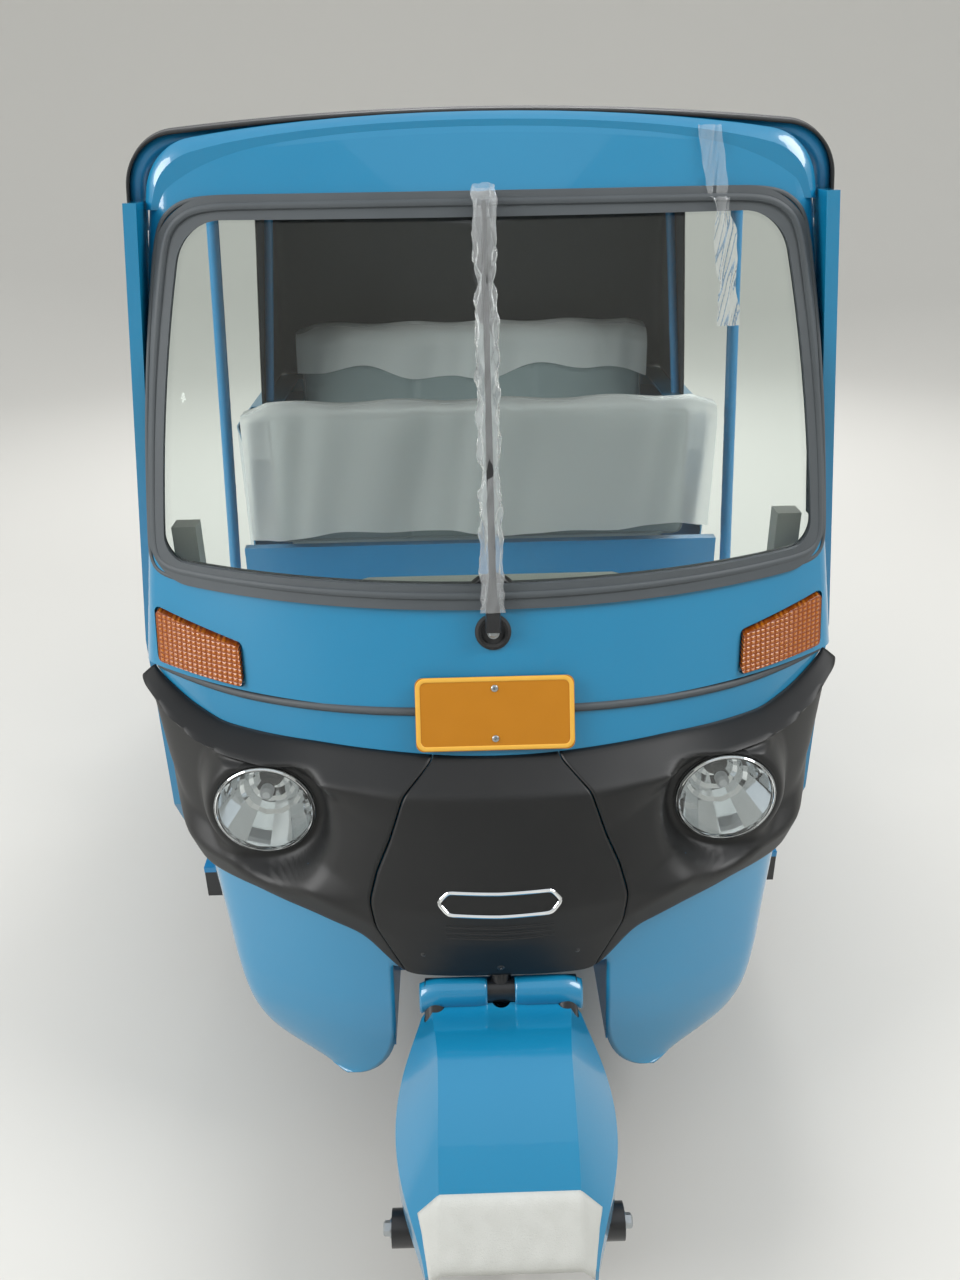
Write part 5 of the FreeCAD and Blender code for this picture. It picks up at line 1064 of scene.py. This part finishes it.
backCorners = upright(0.535, benchBack["foot"], benchBack["top"])
seats = {"round": 0.02, "voxel": 0.009, "pressure": 4.0, "frames": 20, "cap": 0.012, "levels": 1, "fill": 0.85,
         "finish": seatVinyl, "channelDepth": 0.006, "channelWidth": 0.009}
cushions = {  # piece and node: back face, depth, direction, gap, welt's name and ring, and its own settings
    ("driver_seat_cushion", "driver_cushion"): (
        level(0.2, -0.315, 0.065, 0.597), 0.09, (0, 0, 1), 0.004,
        "driver_cushion_welt", level(0.196, -0.311, 0.061, 0.677),
        {"across": (0, 1, 0), "channels": (-0.19, -0.065),
         "limits": ((-0.205, -0.32, 0.5955), (0.205, 0.0697, 0.696))}),
    ("driver_seat_backrest", "driver_backrest"): (
        upright(0.48, (0.109, 0.803), (0.109, 1.12)), 0.052, (0, -1, 0), 0.003,
        "driver_backrest_welt", upright(0.473, (0.06, 0.812), (0.06, 1.112)),
        {"round": 0.024, "across": (1, 0, 0), "channels": (-0.16, 0.16), "cap": 0.009,
         "limits": ((-0.487, 0.0505, 0.8006), (0.487, 0.1155, 1.128))}),
    ("passenger_bench_cushion", "bench_cushion"): (
        level(0.535, 0.515, 0.95, 0.613), 0.118, (0, 0, 1), 0.004,
        "bench_cushion_welt", level(0.528, 0.52, 0.945, 0.716),
        {"voxel": 0.012, "across": (1, 0, 0), "channels": (-0.18, 0.18), "cap": 0.014,
         "limits": ((-0.5405, 0.5125, 0.6106), (0.5405, 0.956, 0.742))}),
    ("passenger_bench_backrest", "bench_backrest"): (
        backCorners, benchBack["depth"], tuple(frontOfBack), 0.004,
        "bench_backrest_welt", np.array(backCorners) * (0.985, 1, 1) + frontOfBack * 0.08,
        {"voxel": 0.012, "across": (1, 0, 0), "channels": (-0.18, 0.18), "cap": 0.014,
         "limits": ((-0.5405, 0.93, 0.6106), (0.5405, 1.142, 1.131))}),
}
for (name, node), (corners, deep, out, gap, weltName, ring, own) in cushions.items():
    made = cushion(name, node, *block(corners, deep, out, gap), {**seats, **own, "out": out})
    welt(weltName, made, ringOf(ring), out)


# Transit film left on the seats: thrown over the top of each backrest, pointed at its upper corners
def thrownOver(name, settings):
    # runs up the back, over the top and down the front, with folds that deepen towards the hem
    u = np.linspace(-1, 1, settings["columns"])[None]
    fall = np.concatenate([
        np.linspace(-settings["back"], 0, 18)[:-1], np.linspace(0, settings["drop"], 39)])[:, None]
    depth = np.abs(fall)
    bend = settings["bend"]
    turn = np.clip(fall / bend, -math.pi / 2, math.pi / 2)
    hang = np.maximum(depth - bend * math.pi / 2, 0)
    forwards = bend * np.sin(turn)
    down = bend * (1 - np.cos(turn)) + hang
    wide = 0.5 + 0.5 * np.sin(9 * u + 1.7 * np.sin(4 * u) + 6 * fall)
    fine = 0.5 + 0.5 * np.sin(31 * u + 11 * fall + 2 * np.sin(7 * u))
    fold = wide * clamp(depth / 0.08) + 0.35 * fine * np.clip(depth / 0.05, 0.15, 1)
    wave = np.sin(5.1 * u + settings["phase"]) + 0.5 * np.sin(13 * u)
    hem = settings["hem"] * wave * clamp(fall / settings["drop"])
    ruffle = 0.004 * np.sin(14 * u) * clamp(1 - depth / 0.05)
    pointed = clamp((np.abs(u) - 0.9) / 0.1) * clamp(1 - depth / 0.06)
    y = settings["top"][0] - forwards - np.sign(fall) * 0.011 * fold * (depth > 0.02) - settings["lean"] * down
    z = settings["top"][1] - down + ruffle - hem - 0.02 * pointed
    points = joined(settings["half"] * u, y, z)
    piece = addPiece(name, points, gridFaces(*points.shape[:2]), "body", milkFilm, "seat_cover", closed=False,
                     crease=180)


thrownOver("driver_backrest_film", {
    "columns": 120, "half": 0.52, "drop": 0.315, "back": 0.16, "bend": 0.034, "phase": 0.6, "hem": 0.008,
    "top": (0.084, 1.1335), "lean": 0.0, "on": ["driver_seat_backrest"]})
thrownOver("bench_backrest_film", {
    "columns": 120, "half": 0.53, "drop": 0.17, "back": 0.09, "bend": 0.058, "phase": 2.1, "hem": 0.02,
    "top": (1.087, 1.138), "lean": 0.14, "on": ["passenger_bench_backrest"]})

# White foam on the mudguard's lip, wrapped over its flat and both slanted sides
guardTable = np.array([  # from the source: in front of the axle, top, half width of the top, half width, knee
    (0.165, 0.405, 0.098, 0.157, 0.325), (0.225, 0.347, 0.098, 0.138, 0.3), (0.283, 0.263, 0.097, 0.118, 0.24)])
foam = {"axleY": -1.0345, "flatShare": 0.72, "reach": 0.93, "from": 0.2815, "to": 0.2215, "rows": 14,
        "columns": 70, "under": 0.0003, "edge": 0.0004, "puff": 0.0066, "dimple": 0.18}


def guardPlace(forwardPlace, side):
    # side runs from -1 to 1 across the slanted side, the flat and the other side, at each place along the guard
    top, halfTop, half, knee = (np.interp(forwardPlace, guardTable[:, 0], guardTable[:, k]) for k in range(1, 5))
    reach, flat = np.abs(side), foam["flatShare"]
    slant = clamp((reach - flat) / (1 - flat))
    x = np.sign(side) * np.where(reach < flat, reach / flat * halfTop, halfTop + slant * (half - halfTop))
    return joined(x, foam["axleY"] - forwardPlace, top - slant * (top - knee))


def fromEdge(count):
    # how many places each of count is from the nearer end
    return np.minimum(np.arange(count), np.arange(count)[::-1])


rows, columns = foam["rows"], foam["columns"]
side = np.linspace(-foam["reach"], foam["reach"], columns)[None]
forwardPlace = np.linspace(foam["from"], foam["to"], rows)[:, None]
foamBase = guardPlace(forwardPlace, side)
foamNormal = gridNormals(foamBase)
foamNormal = foamNormal * np.sign(foamNormal[..., 2:3] + 1e-9)
# the foam swells from its edges by the square root of the distance, and is dimpled a little all over
puff = np.sqrt(clamp(fromEdge(rows)[:, None] / 2.0)) * np.sqrt(clamp(fromEdge(columns)[None] / 3.0))
dimple = 1 - foam["dimple"] * (0.5 + 0.5 * np.sin(21 * side + 3 * np.sin(90 * forwardPlace)))
foamTop = foamBase + foamNormal * (foam["edge"] + foam["puff"] * puff * dimple)[..., None]
foamUnder = foamBase + foamNormal * foam["under"]
rim = np.concatenate([np.arange(columns), np.arange(1, rows) * columns + columns - 1,
                      (rows - 1) * columns + np.arange(columns - 2, -1, -1), np.arange(rows - 2, 0, -1) * columns])
rimFaces = [[rim[k], rim[(k + 1) % len(rim)], rim[(k + 1) % len(rim)] + rows * columns, rim[k] + rows * columns]
            for k in range(len(rim))]
points, faces = gathered([(foamTop, gridFaces(rows, columns)), (foamUnder, gridFaces(rows, columns))])
foamPiece = addPiece("mudguard_foam", points, faces + rimFaces, "steering", whiteFoam, "white_foam", crease=180)
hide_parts("foam_strip")
print("seats, film and foam made")

# Canopy: one sheet over the hoops, from the front hem to the foot of its leaning back
canopy = {"frontY": -0.497, "rearY": 1.2745, "backFoot": 1.2815, "backLean": 19.0, "leanFrom": 0.95,
          "foot": 0.9503, "halfFront": 0.6, "halfBack": 0.628, "sideLean": 5.4, "frontCrown": 1.698,
          "backCrown": 1.704, "shoulder": 0.088, "rise": 0.022, "sideFoot": 1.56, "openBack": 0.7555,
          "openEnd": 0.8555, "upright": 0.9, "columns": 168, "thickness": 0.003, "flat": (2.9, 2.55),
          "sag": 0.007, "seam": 0.0016, "wrinkle": 0.0006, "below": 0.0004, "tuck": 0.005, "tuckFrom": 0.03,
          "backSeams": 0.3, "window": (0.19, 1.36, 0.1)}
hoopsY = (-0.474, 0.0755, 0.9055)


def canopyHalf(y, z):
    share = (y - canopy["frontY"]) / (canopy["rearY"] - canopy["frontY"])
    foot = canopy["halfFront"] + share * (canopy["halfBack"] - canopy["halfFront"])
    return foot - (z - canopy["leanFrom"]) * math.tan(math.radians(canopy["sideLean"]))


def canopyBackY(z):
    return canopy["backFoot"] - (z - canopy["leanFrom"]) * math.tan(math.radians(canopy["backLean"]))


def archLine(y, low):
    # half of the canopy's section from its lower edge to the crown: leaning side, shoulder arc, bowed roof
    share = (y - canopy["frontY"]) / (canopy["rearY"] - canopy["frontY"])
    crown = canopy["frontCrown"] + share * (canopy["backCrown"] - canopy["frontCrown"])
    lean = math.radians(canopy["sideLean"])
    joint = canopyHalf(y, crown)
    for _ in range(12):
        tilt = 2 * math.atan(canopy["rise"] / joint)
        centreZ = crown - canopy["rise"] - canopy["shoulder"] * math.cos(tilt)
        spring = centreZ + canopy["shoulder"] * math.sin(lean)
        centreX = canopyHalf(y, spring) - canopy["shoulder"] * math.cos(lean)
        joint = centreX + canopy["shoulder"] * math.sin(tilt)
    turn = np.linspace(lean, math.pi / 2 - tilt, 24)
    arc = joined(centreX + canopy["shoulder"] * np.cos(turn), centreZ + canopy["shoulder"] * np.sin(turn))
    roofRadius = joint / math.sin(tilt)
    roofTurn = np.linspace(tilt, 0, 30)
    roof = joined(roofRadius * np.sin(roofTurn), crown - roofRadius + roofRadius * np.cos(roofTurn))
    half = evenly(np.concatenate([[(canopyHalf(y, low), low)], arc, roof[1:]]), canopy["columns"] // 2 + 1)
    return np.concatenate([half, (half[:-1] * (-1, 1))[::-1]])


def withSeams(low, high, step, seams):
    # row places evenly apart, with more rows beside each seam
    rows = list(np.arange(low, high, step)) + [high]
    for seam in seams:
        rows += [seam + offset for offset in (-0.008, -0.004, 0.0, 0.004, 0.008) if low < seam + offset < high]
    return np.unique(np.round(rows, 4))


uprightRows = withSeams(canopy["frontY"], canopy["upright"], 0.016, hoopsY[:2])
sheetRows = []
for y in uprightRows:
    low = np.interp(y, (canopy["openBack"], canopy["openEnd"]), (canopy["sideFoot"], canopy["foot"]))
    line = archLine(y, low)
    sheetRows.append(joined(line[:, 0], y, line[:, 1]))
line = archLine(canopy["upright"], canopy["foot"])
for share in np.linspace(0, 1, 20)[1:]:
    y = canopy["upright"] + share * (canopyBackY(line[:, 1]) - canopy["upright"])
    wider = canopyHalf(y, line[:, 1]) / canopyHalf(canopy["upright"], line[:, 1])
    sheetRows.append(joined(line[:, 0] * wider, y, line[:, 1]))
corner = len(sheetRows) - 1
edgeRow = sheetRows[-1]
for share in np.linspace(0, 1, 44)[1:]:
    z = canopy["foot"] + (edgeRow[:, 2] - canopy["foot"]) * (1 - share)
    sheetRows.append(joined(edgeRow[:, 0] * (1 - share), canopyBackY(z), z))
sheetPoints = np.array(sheetRows)
for _ in range(10):
    window = sheetPoints[corner - 4:corner + 5]
    evened = window.copy()
    evened[1:-1] = window[:-2] / 4 + window[1:-1] / 2 + window[2:] / 4
    evened[:, 0], evened[:, -1] = window[:, 0], window[:, -1]
    sheetPoints[corner - 4:corner + 5] = evened
sheetOut = gridNormals(sheetPoints)
middleOut = sheetPoints - np.array([0, 0.4, 1.2])
sheetOut *= np.sign((sheetOut * middleOut).sum(-1, keepdims=True) + 1e-9)
x, y, z = np.moveaxis(sheetPoints, -1, 0)
onRoof = clamp((0.42 - np.abs(x)) / 0.12) * (z > 1.6)
span = sum(np.where((y > a) & (y < b), np.sin(math.pi * (y - a) / (b - a)) ** 2, 0)
           for a, b in zip(hoopsY, hoopsY[1:]))
lift = -canopy["sag"] * onRoof * span
rowNumber = np.arange(len(sheetRows))[:, None]
hoopSeams = sum(np.exp(-((y - hoopY) / 0.005) ** 2) for hoopY in hoopsY[:2])
lift += canopy["seam"] * hoopSeams * (rowNumber < corner - 3)
wrinkle = (np.sin(21 * y + 9 * x * np.sin(3 * y)) * np.sin(17 * x + 5 * y)
           + 0.6 * np.sin(37 * x - 23 * y + 3 * np.sin(9 * z)))
away = clamp(np.minimum.reduce([np.abs(y - hoopY) for hoopY in hoopsY]) / 0.15)
lift += canopy["wrinkle"] * wrinkle * away - canopy["wrinkle"]
onBack = rowNumber > corner + 2
backSeam = np.exp(-((np.abs(x) - canopy["backSeams"]) / 0.006) ** 2) * onBack * (z < 1.62)
halfWindow, windowZ, halfHigh = canopy["window"]
window = np.maximum(np.abs(x) / halfWindow, np.abs(z - windowZ) / halfHigh)
lift += canopy["seam"] * backSeam + canopy["seam"] * np.exp(-((window - 1.06) / 0.035) ** 2) * onBack
lift *= clamp(fromEdge(len(sheetRows))[:, None] / 2.0)
lift -= canopy["tuck"] * clamp(1 - (y - canopy["frontY"]) / canopy["tuckFrom"]) * (z > 1.5)
sheetPoints = sheetPoints + sheetOut * (lift - canopy["below"])[..., None]
sheetFaces = gridFaces(*sheetPoints.shape[:2])
canopyPiece = addPiece("canopy_sheet", sheetPoints, sheetFaces, "body", canopyVinyl, "canopy_cloth", crease=180)
checked = 4000
if canopyPiece.data.polygons[checked].normal.dot(Vector(middleOut.reshape(-1, 3)[sheetFaces[checked][0]])) < 0:
    canopyPiece.data.flip_normals()
thicken(canopyPiece, canopy["thickness"], -1.0)
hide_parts("canopy")

hems = []
for edge in ((0, slice(None)), (slice(corner + 1), 0), (slice(corner + 1), -1)):
    path = sheetPoints[edge] - sheetOut[edge] * 0.0022
    hems.append(carried(ringProfile(0.0026, 10, 0.9), path, sheetOut[edge]))
addPiece("canopy_hem_piping", *gathered(hems), "body", gripRubber, "canopy_cloth", crease=180)
print("canopy made")

# Tail: pressed louvres, lever lock, bumper bolts, lamp rims
door = {"face": 1.2878, "lockZ": 0.468, "louvreColumns": (-0.16, 0.0, 0.16), "louvreRows": 5, "louvreFoot": 0.54,
        "louvrePitch": 0.042, "halfLouvre": 0.055, "swell": 0.0085, "section": np.array([  # up, share of the swell
            (0.013, 0.0), (0.011, 0.35), (0.004, 0.85), (-0.006, 1.0), (-0.008, 0.85), (-0.007, 0.0)])}
across = np.linspace(-door["halfLouvre"], door["halfLouvre"], 22)[:, None]
swell = door["swell"] * clamp((door["halfLouvre"] - np.abs(across)) / 0.014) ** 0.5
ends = [list(range(6)), list(range(21 * 6, 22 * 6))]
louvres = []
for column in door["louvreColumns"]:
    for row in range(door["louvreRows"]):
        points = joined(column + across, door["face"] + door["section"][:, 1] * swell,
                        door["louvreFoot"] + row * door["louvrePitch"] + door["section"][:, 0])
        louvres.append((points, [*gridFaces(22, 6, False, True), *ends]))
addPiece("engine_door_louvres", *gathered(louvres), "engine_door", bluePaint, "blue_paint")
handleY = door["face"] + 0.0117 + 0.002 * np.sin(np.linspace(0, 3.1, 14))
lock = gathered([
    turned([(0, 0), (0, 0.016), (0.003, 0.016), (0.005, 0.013), (0.012, 0.011), (0.012, 0)],
           (0, door["face"], door["lockZ"]), (0, 1, 0), 28),
    carried([(-0.005, -0.002), (-0.004, 0.003), (0.004, 0.003), (0.005, -0.002)],
            joined(np.linspace(-0.004, 0.034, 14), handleY, door["lockZ"]), (0, 1, 0))])
addPiece("engine_door_lock", *lock, "engine_door", barSteel, "bar_steel")
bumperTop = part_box("rear_bumper")[1][2]
tailBolts = [bolt((x, 1.305, bumperTop), (0, 0, 1), 0.013) for x in (-0.44, -0.15, 0.15, 0.44)]
addPiece("bumper_bolts", *gathered(tailBolts), "body", barSteel, "bar_steel")
tailLamp = {"side": 0.48, "face": 1.3118, "middle": 0.747, "half": 0.042, "halfHeight": 0.072, "corner": 0.009,
            "bars": (0.72, 0.772)}
lampRims = []
for side in (-tailLamp["side"], tailLamp["side"]):
    ring = roundedRectangle(tailLamp["half"], tailLamp["halfHeight"], tailLamp["corner"], 6)
    path = joined(side + ring[:, 0], tailLamp["face"], tailLamp["middle"] + ring[:, 1])
    lampRims.append(carried(ringProfile(0.0028, 8, 0.6), path, (0, 1, 0), around=True))
    for z in tailLamp["bars"]:
        path = joined(side + np.linspace(-0.04, 0.04, 12), tailLamp["face"], z)
        lampRims.append(carried(ringProfile(0.0016, 6, 0.6), path, (0, 1, 0)))
addPiece("tail_lamp_rims", *gathered(lampRims), "body", blackPaint, "black_paint")

# Springs round the rear dampers, with a seat at each end
spring = {"foot": np.array([0.47, 0.9055, 0.257]), "top": np.array([0.47, 0.8755, 0.6017]), "from": 0.1,
          "to": 0.93, "turns": 8.5, "radius": 0.036, "wire": 0.0045, "seats": (0.08, 0.93), "seatProfile": [
              (-0.006, 0), (-0.006, 0.043), (0, 0.045), (0.003, 0.042), (0.003, 0)]}
share = np.linspace(spring["from"], spring["to"], 330)[:, None]
run = spring["top"] - spring["foot"]
axis = unit(run)
turn = share * 2 * math.pi * spring["turns"]
spoke = spring["radius"] * (np.cos(turn) * sideways + np.sin(turn) * np.cross(axis, sideways))
coils = []
for side in (-1, 1):
    flip = (side, 1, 1)
    middle = (spring["foot"] + run * share) * flip
    path = (spring["foot"] + run * share + spoke) * flip
    coils.append(carried(ringProfile(spring["wire"], 8), path, path - middle))
    coils += [turned(spring["seatProfile"], (spring["foot"] + run * place) * flip, axis * flip, 32)
              for place in spring["seats"]]
addPiece("rear_springs", *gathered(coils), "body", blackPaint, "black_paint", crease=40)

# Controls: hand levers, and the instrument behind the windscreen
leverLine = np.array([(0.17, -0.63, 0.915), (0.19, -0.618, 0.902), (0.235, -0.565, 0.887),
                      (0.275, -0.512, 0.883)])
leverProfile = [(-0.006, -0.0025), (-0.006, 0.0025), (0.006, 0.0025), (0.006, -0.0025)]
levers = [carried(leverProfile, softened(spaced(leverLine * (side, 1, 1), 0.006), 10), (0, 0, 1))
          for side in (-1, 1)]
addPiece("brake_and_clutch_levers", *gathered(levers), "steering", barSteel, "bar_steel")
dial = turned([(0.0, 0.0), (0.0, 0.037), (0.006, 0.041), (0.009, 0.0415), (0.009, 0.038), (0.003, 0.035),
               (0.003, 0.0)], (0, -0.757, 1.022), (0, 1, 0), 48)
addPiece("speedometer_bezel", *dial, "body", blackPaint, "dash_plastic")

# Ribbed mats on the floor in front of both seats
mats = {"pitch": 0.02, "top": 0.3302, "profile": [(-0.005, 0.0), (-0.003, 0.0035), (0.003, 0.0035), (0.005, 0.0)],
        "areas": ((-0.49, -0.33, 0.4), (0.11, 0.49, 0.52))}
ribs = [carried(mats["profile"], joined(x, np.linspace(near, far, 8), mats["top"]), (0, 0, 1))
        for near, far, half in mats["areas"] for x in np.arange(-half, half + 0.001, mats["pitch"])]
addPiece("floor_mat_ribs", *gathered(ribs), "body", floorRubber, "floor_rubber")

# Cover over the fork's crown, in two halves beside the column
cover = {"middle": (-0.968, 0.44), "radius": 0.0228, "half": 0.128, "gap": 0.022, "swell": 0.0022, "fall": 0.012,
         "fallFrom": 0.09}
covers = []
for side in (-1, 1):
    turn = np.linspace(math.radians(-70), math.radians(95), 20)[None]
    along = np.linspace(cover["gap"], cover["half"], 26)[:, None]
    fall = cover["fall"] * clamp((along - cover["fallFrom"]) / 0.04) ** 2
    radius = cover["radius"] + cover["swell"] * np.sin(math.pi * clamp((along - cover["gap"]) / 0.02) / 2)
    grid = joined(side * along, cover["middle"][0] - radius * np.cos(turn),
                  cover["middle"][1] + radius * np.sin(turn) - fall)
    covers.append((grid, gridFaces(26, 20) if side < 0 else gridFaces(26, 20)[:, ::-1]))
crownCover = addPiece("fork_crown_cover", *gathered(covers), "steering", bluePaint, "blue_paint", closed=False)
thicken(crownCover, 0.002, 0.0)
linkBolts = [bolt((side * 0.1745, -1.1865, 0.183), (side, 0, 0), 0.019) for side in (-1, 1)]
linkBolts += [bolt((side * 0.134, -1.0345, 0.205), (side, 0, 0), 0.017) for side in (-1, 1)]
addPiece("fork_link_nuts", *gathered(linkBolts), "steering", barSteel, "bar_steel")
print("tail, springs, controls and mats made")

# Studio: a round floor that sweeps up into a wall all round, so that every side has the same background
studio = {
    "flat": 6.0, "sweep": 4.0, "wall": 9.0, "around": 96, "floorColour": "#d3d1cc", "skyColour": "#e9edf0",
    "skyStrength": 0.93,
    "lamps": [  # place, size and watts; each faces the middle of the object
        ((-4.2, -2.2, 3.2), 3.0, 185.0), ((3.5, -1.5, 4.0), 2.5, 135.0), ((0.5, 4.5, 4.0), 3.0, 150.0)]}
sweepTurn = np.linspace(0, math.pi / 2, 20)
bowlLine = np.concatenate([
    [(0.01, 0.0), (2.0, 0.0)],
    joined(studio["flat"] + studio["sweep"] * np.sin(sweepTurn), studio["sweep"] * (1 - np.cos(sweepTurn))),
    [(studio["flat"] + studio["sweep"], studio["wall"])]])
around, lineCount = studio["around"], len(bowlLine)
bowlTurn = fullTurn(around)[:, None]
bowlPoints = joined(bowlLine[:, 0] * np.cos(bowlTurn), bowlLine[:, 0] * np.sin(bowlTurn), bowlLine[:, 1])
floorFaces = [face[::-1] for face in gridFaces(around, lineCount, True).tolist()]
floorMesh = bpy.data.meshes.new("studio_floor")
floorMesh.from_pydata(
    bowlPoints.reshape(-1, 3).tolist(), [], [*floorFaces, list(range(0, around * lineCount, lineCount))])
floorMesh.shade_smooth()
studioFloor = bpy.data.objects.new("studio_floor", floorMesh)
scene.collection.objects.link(studioFloor)
wear(studioFloor, startMaterial("matt_studio_floor", {
    "Base Color": linear(studio["floorColour"]), "Roughness": 0.9})[0])

world = bpy.data.worlds.new("studio_sky")
scene.world = world
world.use_nodes = True
world.node_tree.nodes.clear()
sky = addNode(world.node_tree, "Background", {
    "Color": linear(studio["skyColour"]), "Strength": studio["skyStrength"]})
addNode(world.node_tree, "OutputWorld", {"Surface": sky.outputs[0]})

middle = (cadBox[0] + cadBox[1]) / 2
for number, (place, size, watts) in enumerate(studio["lamps"]):
    lampData = bpy.data.lights.new("softbox_%d" % number, "AREA")
    lampData.shape = "DISK"
    lampData.size = size
    lampData.energy = watts
    lamp = bpy.data.objects.new(lampData.name, lampData)
    lamp.location = place
    lamp.rotation_euler = (middle - lamp.location).to_track_quat("-Z", "Y").to_euler()
    scene.collection.objects.link(lamp)

viewpoint = {"place": (-0.043, -2.214, 1.667), "pitchDown": 26.07, "yawRight": 0.92, "roll": -1.03, "lens": 29.4}
cameraData = bpy.data.cameras.new("photo_camera")
cameraData.sensor_width = 36.0
cameraData.lens = viewpoint["lens"]
camera = bpy.data.objects.new("photo_camera", cameraData)
camera.matrix_world = (
    Matrix.Translation(viewpoint["place"])
    @ Matrix.Rotation(math.radians(-viewpoint["yawRight"]), 4, "Z")
    @ Matrix.Rotation(math.radians(90 - viewpoint["pitchDown"]), 4, "X")
    @ Matrix.Rotation(math.radians(viewpoint["roll"]), 4, "Z"))
scene.collection.objects.link(camera)
scene.camera = camera
scene.view_settings.view_transform = "Standard"
